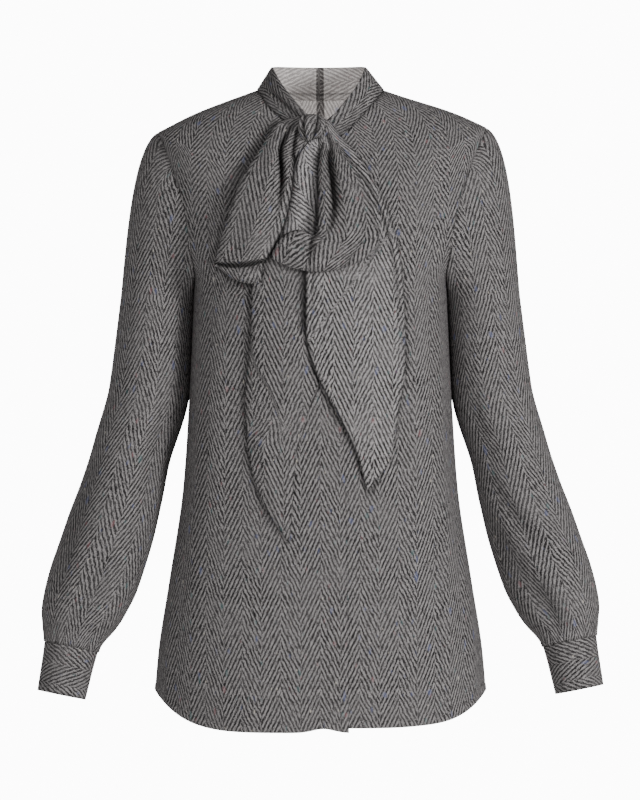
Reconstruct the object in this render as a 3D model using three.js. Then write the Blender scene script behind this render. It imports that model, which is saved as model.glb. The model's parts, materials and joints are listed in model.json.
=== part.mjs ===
// A tie neck blouse in herringbone cloth, hollow as it is worn. Two fronts lap over a concealed button fly,
// the back is one piece, the set-in sleeves gather into deep buttoned cuffs, and a standing neckband runs
// on into a soft bow: a knot, two drooping loops and two pointed tails that lie on the chest.
// Millimetres. +X is the wearer's left, +Y the back, +Z up. The origin lies midway between the points
// where the shoulder seams meet the neckband.
import * as THREE from "three";

const CLOTH = 1.2; // wall of the fronts, back, sleeves and cuffs
const TIE_CLOTH = 1.6; // the neckband and the tie are doubled cloth
const SEAM = 0.3; // gap between two pieces that are sewn together
const ARMHOLE_SEAM = 0.7; // the same where a sleeve turns away sharply from the body
const BUTTON_THICK = 1.4;
const BUTTON_CLEAR = 0.75; // room between a fly button and the fronts' facets on either side of it
const FLY_BUTTON_RADIUS = 4.5;
const CUFF_BUTTON_RADIUS = 5.5;
const BUTTON_SIDES = 12;
const FLY_DEPTH = CLOTH + BUTTON_THICK + 2 * BUTTON_CLEAR; // how far the left front lies under the right one

const radians = THREE.MathUtils.degToRad;
const smooth = THREE.MathUtils.smoothstep;
const at = (x, y, z) => new THREE.Vector3(x, y, z);
const parted = (value, power) => Math.sign(value) * Math.abs(value) ** power;

// One column of a table, read smoothly between its rows without overshooting them.
function column(rows, key, place) {
  const last = rows.length - 1;
  const slope = (i) => (rows[i + 1][key] - rows[i][key]) / (rows[i + 1].at - rows[i].at);
  const tangent = (i) => {
    if (i === 0) return slope(0);
    if (i === last) return slope(last - 1);
    const [before, after] = [slope(i - 1), slope(i)];
    return before * after <= 0 ? 0 : (2 * before * after) / (before + after);
  };
  let i = 0;
  while (i < last - 1 && place > rows[i + 1].at) i++;
  const span = rows[i + 1].at - rows[i].at;
  const s = THREE.MathUtils.clamp((place - rows[i].at) / span, 0, 1);
  const [s2, s3] = [s * s, s * s * s];
  return (
    (2 * s3 - 3 * s2 + 1) * rows[i][key] +
    (s3 - 2 * s2 + s) * span * tangent(i) +
    (3 * s2 - 2 * s3) * rows[i + 1][key] +
    (s3 - s2) * span * tangent(i + 1)
  );
}

// Closes a grid of points on a cloth's outer face into a wall. Each point is taken in by the wall along
// the grid's own normal. A round grid joins its last column to its first. flatY names the columns that lie
// on a seam in the plane between front and back, where the wall has to stay in that plane.
function wall(points, thickness, { round = false, flatY = () => false } = {}) {
  const rows = points.length;
  const columns = points[0].length;
  const near = (i, j) => {
    const r = THREE.MathUtils.clamp(i, 0, rows - 1);
    const c = round ? (j + columns) % columns : THREE.MathUtils.clamp(j, 0, columns - 1);
    return points[r][c];
  };
  const inner = points.map((row, i) =>
    row.map((p, j) => {
      const across = near(i, j + 1).clone().sub(near(i, j - 1));
      const along = near(i + 1, j).clone().sub(near(i - 1, j));
      const normal = across.cross(along);
      if (flatY(i, j)) normal.y = 0;
      return p.clone().addScaledVector(normal.normalize(), -thickness);
    }),
  );
  const position = [];
  const triangle = (a, b, c) => position.push(...a.toArray(), ...b.toArray(), ...c.toArray());
  const quad = (a, b, c, d) => {
    triangle(a, b, c);
    triangle(a, c, d);
  };
  const steps = round ? columns : columns - 1;
  const next = (j) => (j + 1) % columns;
  for (let i = 0; i < rows - 1; i++) {
    for (let j = 0; j < steps; j++) {
      quad(points[i][j], points[i][next(j)], points[i + 1][next(j)], points[i + 1][j]);
      quad(inner[i][j], inner[i + 1][j], inner[i + 1][next(j)], inner[i][next(j)]);
    }
    if (!round) {
      const end = columns - 1;
      quad(points[i][0], points[i + 1][0], inner[i + 1][0], inner[i][0]);
      quad(points[i][end], inner[i][end], inner[i + 1][end], points[i + 1][end]);
    }
  }
  for (let j = 0; j < steps; j++) {
    const end = rows - 1;
    quad(points[0][j], inner[0][j], inner[0][next(j)], points[0][next(j)]);
    quad(points[end][j], points[end][next(j)], inner[end][next(j)], inner[end][j]);
  }
  return new THREE.BufferGeometry().setAttribute("position", new THREE.Float32BufferAttribute(position, 3));
}

// Body. Each row is a ring round the wearer, from the hem up to the neckline. zFront, zSide and zBack are
// its heights at centre front, side seam and centre back, half its half width, front and back its depths
// either way, curve the power of its rounding (1 is an ellipse) and edge how late its height leaves the
// centre's for the side's.
const BODY = [
  { at: 0.0, zFront: -700, zSide: -656, zBack: -699, half: 182, front: 119, back: 117, curve: 0.88, edge: 5 },
  { at: 0.08, zFront: -640, zSide: -612, zBack: -640, half: 178, front: 117, back: 115, curve: 0.88, edge: 4 },
  { at: 0.2, zFront: -545, zSide: -535, zBack: -545, half: 166, front: 113, back: 109, curve: 0.87, edge: 3 },
  { at: 0.34, zFront: -436, zSide: -434, zBack: -436, half: 151, front: 110, back: 100, curve: 0.86, edge: 2 },
  { at: 0.46, zFront: -350, zSide: -347, zBack: -349, half: 145, front: 111, back: 96, curve: 0.85, edge: 2 },
  { at: 0.56, zFront: -280, zSide: -268, zBack: -278, half: 141, front: 112, back: 98, curve: 0.84, edge: 2 },
  { at: 0.635, zFront: -232, zSide: -212, zBack: -226, half: 139, front: 110, back: 100, curve: 0.83, edge: 2 },
  { at: 0.68, zFront: -201, zSide: -178, zBack: -193, half: 151, front: 107, back: 100, curve: 0.83, edge: 2 },
  { at: 0.72, zFront: -175, zSide: -146, zBack: -164, half: 160, front: 103, back: 99, curve: 0.83, edge: 2 },
  { at: 0.79, zFront: -134, zSide: -90, zBack: -116, half: 171, front: 94, back: 93, curve: 0.83, edge: 1.9 },
  { at: 0.86, zFront: -100, zSide: -41, zBack: -70, half: 178, front: 83, back: 83, curve: 0.83, edge: 1.7 },
  { at: 0.92, zFront: -81, zSide: -22, zBack: -34, half: 137, front: 75, back: 74, curve: 0.84, edge: 1.5 },
  { at: 1.0, zFront: -64, zSide: 2, zBack: -1, half: 70, front: 66, back: 60, curve: 0.86, edge: 1.2 },
];
const UNDERARM = 0.635;
const SHOULDER_TIP = 0.86;
const NECKLINE = 1;
const SIDE_SEAM = 90;
const BELOW_UNDERARM = [0, 0.06, 0.12, 0.2, 0.28, 0.36, 0.44, 0.52, 0.58];
const ARMHOLE_ROWS = [UNDERARM, 0.643, 0.657, 0.68, 0.71, 0.75, 0.79, 0.82, 0.842, SHOULDER_TIP];
const SHOULDER_ROWS = [0.885, 0.92, 0.96, NECKLINE];
const BODY_ROWS = [...BELOW_UNDERARM, ...ARMHOLE_ROWS, ...SHOULDER_ROWS];
const FRONT_COLUMNS = 11;
const BACK_COLUMNS = 18;

// How far round from centre front or centre back each half of the armhole runs, in degrees.
const ARMHOLE = [
  { at: UNDERARM, angle: SIDE_SEAM },
  { at: 0.643, angle: 79 },
  { at: 0.657, angle: 72.5 },
  { at: 0.68, angle: 67 },
  { at: 0.71, angle: 63.5 },
  { at: 0.75, angle: 62.5 },
  { at: 0.79, angle: 66 },
  { at: 0.82, angle: 71 },
  { at: 0.842, angle: 78 },
  { at: SHOULDER_TIP, angle: SIDE_SEAM },
];

// Soft vertical drapes of the body. angle is where a drape stands, counted from centre front towards the
// wearer's left, wide its half width in degrees, low and high where it fades out, out how far it stands out.
const DRAPES = [
  { angle: -52, wide: 13, low: 0.12, high: 0.66, out: 3.5 },
  { angle: -34, wide: 9, low: 0.3, high: 0.6, out: -2.5 },
  { angle: 50, wide: 12, low: 0.2, high: 0.68, out: 3.5 },
  { angle: 34, wide: 8, low: 0.38, high: 0.62, out: -2 },
  { angle: -22, wide: 12, low: -0.3, high: 0.16, out: 3 },
  { angle: 128, wide: 12, low: 0.1, high: 0.62, out: 4 },
  { angle: 154, wide: 11, low: -0.2, high: 0.5, out: -3 },
  { angle: -130, wide: 12, low: 0.05, high: 0.6, out: 4 },
  { angle: -158, wide: 10, low: -0.2, high: 0.45, out: -3 },
];

function drape(angle, t) {
  return DRAPES.reduce((sum, d) => {
    const across = (angle - d.angle) / d.wide;
    const middle = (d.low + d.high) / 2;
    const along = (t - middle) / ((d.high - d.low) / 2);
    return sum + d.out * Math.exp(-across * across) * Math.max(0, 1 - along * along);
  }, 0);
}

const LEFT_SHOULDER_UP = 5; // the wearer's left shoulder sits this much higher than the right one
const LEFT_SHOULDER_OUT = 4; // and reaches this much further out

// A point on the body's outer face. angle is in degrees from centre front, positive to the wearer's left.
function bodyPoint(angle, t, inset = 0) {
  const [s, c] = [Math.sin(radians(angle)), Math.cos(radians(angle))];
  const facesFront = c >= 0;
  const half = column(BODY, "half", t);
  const deep = column(BODY, facesFront ? "front" : "back", t);
  const curve = column(BODY, "curve", t);
  const zSide = column(BODY, "zSide", t);
  const zCentre = column(BODY, facesFront ? "zFront" : "zBack", t);
  const z = zSide + (zCentre - zSide) * (1 - Math.abs(s) ** column(BODY, "edge", t));
  const raised = s > 0 ? s * s * smooth(t, 0.7, SHOULDER_TIP) * (1 - smooth(t, SHOULDER_TIP, NECKLINE)) : 0;
  const x = half * parted(s, curve) + LEFT_SHOULDER_OUT * raised;
  const p = at(x, -deep * parted(c, curve), z + LEFT_SHOULDER_UP * raised);
  const outward = at(p.x / half ** 2, p.y / deep ** 2, 0).normalize();
  return p.addScaledVector(outward, drape(angle, t) - inset);
}

const armholeAngle = (t) => (t <= UNDERARM || t >= SHOULDER_TIP ? SIDE_SEAM : column(ARMHOLE, "angle", t));

// Where a line at a small distance x from centre front lies on a ring, in degrees.
function angleAt(x, t) {
  const share = Math.min(1, Math.abs(x) / column(BODY, "half", t));
  return Math.sign(x) * THREE.MathUtils.radToDeg(Math.asin(share ** (1 / column(BODY, "curve", t))));
}

// Depth of the body's front face at a place seen from the front, for what lies on the chest.
function chestY(x, z) {
  let [low, high] = [0, NECKLINE];
  for (let i = 0; i < 30; i++) {
    const middle = (low + high) / 2;
    if (bodyPoint(angleAt(x, middle), middle).z < z) low = middle;
    else high = middle;
  }
  return bodyPoint(angleAt(x, low), low).y;
}

// Fronts. The right one laps over the left, past centre front to the fly's edge; the left one's fly lies
// under it, sunk by the depth of the buttons between them.
const FLY_EDGE = [
  { at: 0, over: 31, under: -14 },
  { at: 0.5, over: 24, under: -14 },
  { at: NECKLINE, over: 14, under: -10 },
];
const FLY_STEP = 9; // width over which the left front comes up to the surface beside the fly's edge

// The hem of the fronts: how much higher than the ring it hangs at a place x from centre front.
const LEFT_HEM_UP = 5;
const RIGHT_HEM_WAVE = { x: 3, wide: 16, up: 4.5 };
const HEM_FADE = 0.08; // height over which the difference is taken up

function hemRise(side, x, t) {
  const fade = 1 - smooth(t, 0, HEM_FADE);
  if (side === "left") return fade * LEFT_HEM_UP * (1 - smooth(x, 100, 182));
  return fade * RIGHT_HEM_WAVE.up * Math.exp(-(((x - RIGHT_HEM_WAVE.x) / RIGHT_HEM_WAVE.wide) ** 2));
}

function frontPoint(side, angle, t, inset) {
  const p = bodyPoint(angle, t, inset);
  return p.add(at(0, -SEAM / 2, hemRise(side, p.x, t)));
}

function frontRight() {
  return BODY_ROWS.map((t) => {
    const edge = angleAt(column(FLY_EDGE, "over", t), t);
    const side = -armholeAngle(t);
    return Array.from({ length: FRONT_COLUMNS + 1 }, (_, j) => {
      const angle = side + (edge - side) * (j / FRONT_COLUMNS);
      return frontPoint("right", angle, t, 0);
    });
  });
}

function frontLeft() {
  return BODY_ROWS.map((t) => {
    const over = column(FLY_EDGE, "over", t);
    const stops = [column(FLY_EDGE, "under", t), over / 2, over + 1, over + 1 + FLY_STEP].map((x) => angleAt(x, t));
    const side = armholeAngle(t);
    const last = stops.at(-1);
    const rest = FRONT_COLUMNS + 1 - stops.length;
    const angles = [...stops, ...Array.from({ length: rest }, (_, j) => last + ((side - last) * (j + 1)) / rest)];
    return angles.map((angle, j) => {
      const sunk = j < 3 ? FLY_DEPTH : 0;
      return frontPoint("left", angle, t, sunk);
    });
  });
}

function backPanel() {
  return BODY_ROWS.map((t) => {
    const side = armholeAngle(t);
    return Array.from({ length: BACK_COLUMNS + 1 }, (_, j) => {
      const angle = 180 - side + (2 * side * j) / BACK_COLUMNS;
      return bodyPoint(angle, t).add(at(0, SEAM / 2, 0));
    });
  });
}

// A panel's side columns lie on the seam plane wherever it has a side or shoulder seam.
const onSeam = (t) => t <= UNDERARM || t >= SHOULDER_TIP;

// Armhole, as the corners that the fronts and the back share, from the shoulder tip down the front to the
// underarm and up the back. Each is moved off the cloth's edge by the seam. Both sides are given with x
// counted outwards.
function armholeRing(side) {
  const sign = side === "left" ? 1 : -1;
  const body = (angle, t) => bodyPoint(sign * angle, t).multiply(at(sign, 1, 1));
  const down = [...ARMHOLE_ROWS].reverse();
  const corners = [
    ...down.map((t) => ({ t, angle: armholeAngle(t) })),
    ...ARMHOLE_ROWS.slice(1, -1).map((t) => ({ t, angle: 180 - armholeAngle(t) })),
  ];
  const points = corners.map(({ t, angle }) => body(angle, t));
  const count = points.length;
  const reach = points.map((p, i) => p.distanceTo(points[(i + 1) % count]));
  const halfCount = ARMHOLE_ROWS.length - 1;
  const total = (from, to) => reach.slice(from, to).reduce((sum, x) => sum + x, 0);
  const [front, back] = [total(0, halfCount), total(halfCount, count)];
  return points.map((p, i) => {
    const { t, angle } = corners[i];
    const inward = angle <= SIDE_SEAM ? -4 : 4;
    const across = body(angle + inward, t).sub(body(angle + 2 * inward, t));
    const along = body(angle + inward, t + 0.02).sub(body(angle + inward, t));
    const normal = across.cross(along).normalize();
    const edge = points[(i + 1) % count].clone().sub(points[(i + count - 1) % count]);
    if (i === 0 || i === halfCount) normal.y = 0;
    const off = edge.cross(normal).normalize();
    const inside = body(angle + inward, t).sub(p);
    if (off.dot(inside) > 0) off.negate();
    const turn = i <= halfCount ? (180 * total(0, i)) / front : 180 + (180 * total(halfCount, i)) / back;
    return { turn, point: p.clone().addScaledVector(off, ARMHOLE_SEAM) };
  });
}

// Sleeve, for the wearer's left; the right one is its mirror image. Each row is a section square to the
// arm: its centre, its half width seen from the front and its half depth.
const SLEEVE = [
  { at: 0.0, x: 180.6, y: 10, z: -229, across: 39.6, deep: 54 },
  { at: 0.14, x: 185, y: 11, z: -284, across: 42, deep: 54 },
  { at: 0.25, x: 189.5, y: 9, z: -328, across: 43.3, deep: 54 },
  { at: 0.41, x: 207, y: 2, z: -394, across: 43.5, deep: 53 },
  { at: 0.52, x: 218.5, y: -5, z: -438, across: 46, deep: 53 },
  { at: 0.62, x: 232, y: -11, z: -482, across: 49, deep: 53 },
  { at: 0.73, x: 247, y: -15, z: -526, across: 49.5, deep: 52 },
  { at: 0.8, x: 257.5, y: -17, z: -552, across: 47, deep: 49 },
  { at: 0.87, x: 266, y: -19, z: -574, across: 42, deep: 44 },
  { at: 0.93, x: 270.5, y: -21, z: -590, across: 35, deep: 38 },
  { at: 1.0, x: 273.5, y: -22.5, z: -604, across: 30, deep: 33 },
  { at: 1.2, x: 284, y: -26, z: -656, across: 27, deep: 31 },
];
const CUFF_TOP = 1;
const CUFF_HEM = 1.2;
const CAP_ROWS = [0, 0.1, 0.22, 0.38, 0.58, 0.8];
const SLEEVE_ROWS = [0, 0.1, 0.2, 0.3, 0.38, 0.46, 0.53, 0.6, 0.67, 0.73, 0.785, 0.84, 0.885, 0.93, 0.965, 1];
const CUFF_ROWS = [0, 0.33, 0.67, 1];

// How the sleeve head leaves the armhole, by the turn round it from the shoulder tip: the direction it
// sets off in, how strongly it holds that, and how strongly it has turned down the arm at the other end.
const HEAD = [
  { at: 0, x: 0.9, y: 0, z: -0.43, leave: 84, settle: 170 },
  { at: 45, x: 0.84, y: -0.26, z: -0.48, leave: 76, settle: 140 },
  { at: 90, x: 0.76, y: -0.3, z: -0.58, leave: 58, settle: 95 },
  { at: 135, x: 0.72, y: -0.2, z: -0.66, leave: 34, settle: 42 },
  { at: 180, x: 0.5, y: 0, z: -0.85, leave: 11, settle: 11 },
];

// Creases of the sleeves: turn is the place round the arm, 0 outside and 90 in front, twist how far it
// runs round for each unit along, low and high its ends, wide its half width in degrees.
const CREASES = {
  left: [
    { turn: 120, twist: -150, low: 0.52, high: 0.98, wide: 22, out: -4.5 },
    { turn: 70, twist: -120, low: 0.5, high: 0.9, wide: 20, out: 3 },
    { turn: 120, twist: -60, low: 0.2, high: 0.5, wide: 18, out: -3 },
    { turn: 250, twist: 60, low: 0.45, high: 0.95, wide: 22, out: -4 },
  ],
  right: [
    { turn: 35, twist: 40, low: 0.42, high: 0.86, wide: 20, out: -4 },
    { turn: 95, twist: -60, low: 0.6, high: 0.98, wide: 20, out: -3.5 },
    { turn: 125, twist: 0, low: 0.2, high: 0.6, wide: 18, out: -3 },
    { turn: 255, twist: -50, low: 0.45, high: 0.95, wide: 22, out: -4 },
  ],
};
const GATHERS = 6; // soft pleats that take the sleeve into its cuff, standing out by GATHER_OUT
const GATHER_OUT = 1.8;

function crease(side, turn, along) {
  const gather = smooth(along, 0.8, 0.95) * (1 - smooth(along, 0.95, CUFF_TOP));
  return CREASES[side].reduce((sum, c) => {
    const middle = (c.low + c.high) / 2;
    const run = (along - middle) / ((c.high - c.low) / 2);
    const away = THREE.MathUtils.euclideanModulo(turn - c.turn - c.twist * (along - middle) + 180, 360) - 180;
    return sum + c.out * Math.exp(-((away / c.wide) ** 2)) * Math.max(0, 1 - run * run);
  }, gather * GATHER_OUT * Math.cos(radians(GATHERS * turn)));
}

const armCentre = (along) => at(column(SLEEVE, "x", along), column(SLEEVE, "y", along), column(SLEEVE, "z", along));
const armAxis = (along) => armCentre(along + 0.02).sub(armCentre(along - 0.02)).normalize();

function sleevePoint(turn, along, out = 0) {
  const down = armAxis(along);
  const sideways = at(-down.z, 0, down.x).normalize();
  const forward = sideways.clone().cross(down).negate();
  const [c, s] = [Math.cos(radians(turn)), Math.sin(radians(turn))];
  return armCentre(along)
    .addScaledVector(sideways, (column(SLEEVE, "across", along) + out) * c)
    .addScaledVector(forward, (column(SLEEVE, "deep", along) + out) * s);
}

// A point of the sleeve head, share of the way from the armhole to the first section of the arm.
function headPoint({ turn, point }, share) {
  const place = turn <= 180 ? turn : 360 - turn;
  const back = turn <= 180 ? 1 : -1;
  const [x, y, z] = ["x", "y", "z"].map((key) => column(HEAD, key, place));
  const leave = at(x, y * back, z).normalize().multiplyScalar(column(HEAD, "leave", place));
  const settle = armAxis(0).multiplyScalar(column(HEAD, "settle", place));
  const [s2, s3] = [share ** 2, share ** 3];
  return point
    .clone()
    .multiplyScalar(2 * s3 - 3 * s2 + 1)
    .addScaledVector(leave, s3 - 2 * s2 + share)
    .addScaledVector(sleevePoint(turn, 0), 3 * s2 - 2 * s3)
    .addScaledVector(settle, s3 - s2);
}

const RIGHT_SLEEVE_EXTRA = 6; // the wearer's right sleeve hangs this much lower at the cuff

// The wearer's left sleeve as modelled, or its mirror image a little longer for the right.
function placed(side, along, p) {
  if (side === "left") return p;
  return at(-p.x, p.y, p.z - RIGHT_SLEEVE_EXTRA * smooth(along, 0.3, CUFF_TOP));
}

// A sleeve is one piece of cloth. It is modelled as two tubes that meet at the elbow, so that each has a
// simple form.
const ELBOW = 0.42;
const ELBOW_GAP = 0.001; // as a share of the sleeve's length, 0.4 mm

function armRows(side, rows) {
  const ring = armholeRing(side);
  return rows.map((along) =>
    ring.map(({ turn }) => placed(side, along, sleevePoint(turn, along, crease(side, turn, along)))),
  );
}

function upperSleeve(side) {
  const ring = armholeRing(side);
  const head = CAP_ROWS.map((share) => ring.map((corner) => placed(side, 0, headPoint(corner, share))));
  const rows = SLEEVE_ROWS.filter((along) => along < ELBOW);
  return [...head, ...armRows(side, [...rows, ELBOW - ELBOW_GAP / 2])];
}

function lowerSleeve(side) {
  const rows = SLEEVE_ROWS.filter((along) => along > ELBOW);
  return armRows(side, [ELBOW + ELBOW_GAP / 2, ...rows]);
}

function cuff(side) {
  const ring = armholeRing(side);
  const start = CUFF_TOP + 0.0035; // the seam's gap, as a share of the sleeve's length
  return CUFF_ROWS.map((share) => {
    const along = start + (CUFF_HEM - start) * share;
    return ring.map(({ turn }) => placed(side, along, sleevePoint(turn, along)));
  });
}

// Neckband. Each row says how far its top edge stands above the neckline and leans in over it, by the
// angle from centre front; it is open behind the knot, where the tie passes through.
const NECKBAND = [
  { at: 0, rise: 27, lean: 2 },
  { at: 25, rise: 31, lean: 6 },
  { at: 50, rise: 31, lean: 10 },
  { at: 90, rise: 25, lean: 16 },
  { at: 135, rise: 28, lean: 10 },
  { at: 180, rise: 30, lean: 5 },
];
const NECKBAND_LEFT_LEAN = 4; // the wearer's left side leans in this much more
const NECKBAND_ENDS = [3, 353]; // angles of the two ends, either side of centre front
const NECKBAND_COLUMNS = 28;
const NECKBAND_ROWS = [0, 0.35, 0.7, 1];
const NECKBAND_LIFT = 1.4; // gap above the neckline

function neckband() {
  const [start, end] = NECKBAND_ENDS;
  return NECKBAND_ROWS.map((share) =>
    Array.from({ length: NECKBAND_COLUMNS + 1 }, (_, j) => {
      const angle = start + ((end - start) * j) / NECKBAND_COLUMNS;
      const place = Math.min(angle, 360 - angle);
      const foot = bodyPoint(angle, NECKLINE);
      const inward = at(-foot.x, -foot.y, 0).normalize();
      const more = Math.max(0, Math.sin(radians(angle))) * NECKBAND_LEFT_LEAN;
      const lean = (column(NECKBAND, "lean", place) + more) * share;
      const rise = NECKBAND_LIFT + column(NECKBAND, "rise", place) * share;
      return foot.addScaledVector(inward, lean).add(at(0, 0, rise));
    }),
  );
}

// Tie. A stretch of the tie is a ribbon: each row gives its two edges as seen from the front, how far it
// stands out from the chest, how much further its middle does, and how far its middle sags.
const LOOP_RIGHT = [
  { x0: -39, z0: -37, x1: -20.8, z1: -49.2, out: 14, crown: 1, sag: 0 },
  { x0: -57, z0: -64, x1: -27.5, z1: -80, out: 17, crown: 5, sag: 0 },
  { x0: -77, z0: -104, x1: -30, z1: -108, out: 21, crown: 7, sag: 0 },
  { x0: -97, z0: -143, x1: -37, z1: -143, out: 23, crown: 7, sag: 0 },
  { x0: -112, z0: -177, x1: -51.5, z1: -174, out: 22, crown: 5, sag: 0 },
  { x0: -115.5, z0: -189, x1: -60, z1: -189, out: 18, crown: 2, sag: -1 },
  { x0: -114, z0: -196, x1: -62, z1: -199, out: 17.5, crown: 3, sag: -8 },
  { x0: -109, z0: -199, x1: -63, z1: -203, out: 11, crown: 0, sag: -9 },
  { x0: -109, z0: -194, x1: -61, z1: -198, out: 5, crown: 0, sag: -6 },
  { x0: -106, z0: -178, x1: -53, z1: -178, out: 4.3, crown: 0, sag: 0 },
  { x0: -88, z0: -130, x1: -34, z1: -132, out: 4.3, crown: 0, sag: 0 },
  { x0: -46, z0: -56, x1: -22, z1: -62, out: 4.3, crown: 0, sag: 0 },
];
const LOOP_LEFT = [
  { x0: -5, z0: -54.8, x1: 14, z1: -50.2, out: 14, crown: 1, sag: 0 },
  { x0: -7, z0: -88, x1: 35, z1: -84, out: 18, crown: 4, sag: 0 },
  { x0: -3, z0: -122, x1: 52, z1: -118, out: 22, crown: 6, sag: 0 },
  { x0: -4, z0: -156, x1: 63, z1: -151, out: 25, crown: 6, sag: 0 },
  { x0: -13, z0: -181, x1: 65, z1: -171, out: 24, crown: 4, sag: -3 },
  { x0: -29, z0: -192, x1: 62, z1: -179, out: 20, crown: 2, sag: -7 },
  { x0: -44, z0: -191, x1: 56, z1: -181, out: 14, crown: 0, sag: -10 },
  { x0: -51, z0: -183, x1: 52, z1: -176, out: 9.5, crown: 0, sag: -7 },
  { x0: -50, z0: -169, x1: 48, z1: -162, out: 7.3, crown: 0, sag: 0 },
  { x0: -40, z0: -142, x1: 42, z1: -138, out: 7.3, crown: 0, sag: 0 },
  { x0: -32, z0: -98, x1: 28, z1: -96, out: 7.3, crown: 0, sag: 0 },
  { x0: -16, z0: -60, x1: 12, z1: -58, out: 7.3, crown: 0, sag: 0 },
];
const TAIL_RIGHT = [
  { x0: -34, z0: -52, x1: -14, z1: -58, out: 3.1, crown: 0, sag: 0 },
  { x0: -60, z0: -112, x1: -10, z1: -112, out: 3.1, crown: 0, sag: 0 },
  { x0: -73, z0: -165, x1: -3, z1: -165, out: 3.1, crown: 0, sag: 0 },
  { x0: -75, z0: -201, x1: 1, z1: -201, out: 3.3, crown: 0.5, sag: 0 },
  { x0: -75.5, z0: -256, x1: 0.5, z1: -256, out: 3.5, crown: 1, sag: 0 },
  { x0: -80, z0: -311, x1: -3, z1: -311, out: 3.5, crown: 0.5, sag: 0 },
  { x0: -82.5, z0: -339, x1: -9.5, z1: -339, out: 3.5, crown: 0, sag: 0 },
  { x0: -81, z0: -372, x1: -19, z1: -372, out: 3.3, crown: 0, sag: 0 },
  { x0: -77.5, z0: -405, x1: -27, z1: -405, out: 3.1, crown: 0, sag: 0 },
  { x0: -64, z0: -449, x1: -30, z1: -449, out: 3.1, crown: 0, sag: 0 },
  { x0: -37, z0: -491, x1: -33, z1: -489, out: 3.1, crown: 0, sag: 0 },
];
const TAIL_LEFT = [
  { x0: -6, z0: -60, x1: 16, z1: -50, out: 5.1, crown: 0, sag: 0 },
  { x0: 0, z0: -80, x1: 40, z1: -73, out: 5.1, crown: 0, sag: 0 },
  { x0: 4, z0: -102, x1: 55, z1: -96, out: 5.1, crown: 0, sag: 0 },
  { x0: 4, z0: -150, x1: 77, z1: -144, out: 5.1, crown: 0, sag: 0 },
  { x0: 2, z0: -202, x1: 89, z1: -201, out: 5.3, crown: 0, sag: 0 },
  { x0: -0.5, z0: -262, x1: 92, z1: -262, out: 7.4, crown: 5, sag: 0 },
  { x0: 3, z0: -306, x1: 92.5, z1: -306, out: 7.6, crown: 4, sag: 0 },
  { x0: 14, z0: -333, x1: 88, z1: -333, out: 7.4, crown: 3, sag: 0 },
  { x0: 27, z0: -361, x1: 84, z1: -361, out: 7, crown: 2, sag: 0 },
  { x0: 40, z0: -399, x1: 78, z1: -399, out: 5.3, crown: 1, sag: 0 },
  { x0: 49, z0: -437, x1: 53, z1: -435, out: 5.1, crown: 0, sag: 0 },
];

function ribbon(table, rows, columns) {
  const route = table.map((row, i) => ({ ...row, at: i / (table.length - 1) }));
  return Array.from({ length: rows + 1 }, (_, i) => {
    const row = {};
    for (const key of ["x0", "z0", "x1", "z1", "out", "crown", "sag"]) row[key] = column(route, key, i / rows);
    return Array.from({ length: columns + 1 }, (_, j) => {
      const share = j / columns;
      const arch = 4 * share * (1 - share);
      const x = THREE.MathUtils.lerp(row.x0, row.x1, share);
      const z = THREE.MathUtils.lerp(row.z0, row.z1, share) + row.sag * arch;
      return at(x, chestY(x, z) - row.out - row.crown * arch, z);
    });
  });
}

// Knot: a wrap of the tie drawn tight, wider than it is high, with its pleats running down it.
const KNOT = { x: -7, y: -76.4, z: -39, halfWidth: 18, halfDepth: 12, halfHeight: 15 };
const KNOT_PLEATS = 7;
const KNOT_PLEAT_DEPTH = 1.1;
const KNOT_SIDES = 21;
const KNOT_RINGS = 8;

function knot() {
  const geometry = new THREE.SphereGeometry(1, KNOT_SIDES, KNOT_RINGS).rotateX(Math.PI / 2);
  const position = geometry.getAttribute("position");
  const p = new THREE.Vector3();
  for (let i = 0; i < position.count; i++) {
    p.fromBufferAttribute(position, i);
    const flat = Math.hypot(p.x, p.y);
    const pleat = 1 + (KNOT_PLEAT_DEPTH / KNOT.halfDepth) * flat * Math.cos(KNOT_PLEATS * Math.atan2(p.y, p.x));
    position.setXYZ(
      i,
      KNOT.x + KNOT.halfWidth * parted(p.x, 0.85) * pleat,
      KNOT.y + KNOT.halfDepth * parted(p.y, 0.85) * pleat,
      KNOT.z + KNOT.halfHeight * parted(p.z, 0.9),
    );
  }
  return geometry;
}

// Buttons: plain discs. Those of the fly lie between the two fronts, those of the cuffs stand on the back
// of the cuff, where it laps.
const FLY_BUTTONS = [0.1, 0.205, 0.31, 0.415, 0.52, 0.625, 0.73];
const CUFF_BUTTON_TURN = 215;
const CUFF_BUTTON_ALONG = 1.09;

function button(radius, centre, outward) {
  const geometry = new THREE.CylinderGeometry(radius, radius, BUTTON_THICK, BUTTON_SIDES).toNonIndexed();
  geometry.applyQuaternion(new THREE.Quaternion().setFromUnitVectors(at(0, 1, 0), outward.clone().normalize()));
  return geometry.translate(centre.x, centre.y, centre.z);
}

function flyButton(t) {
  const middle = bodyPoint(0, t, CLOTH + BUTTON_CLEAR + BUTTON_THICK / 2).add(at(0, -SEAM / 2, 0));
  const rise = bodyPoint(0, t + 0.02).sub(bodyPoint(0, t - 0.02));
  return button(FLY_BUTTON_RADIUS, middle, at(0, -rise.z, rise.y));
}

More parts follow.
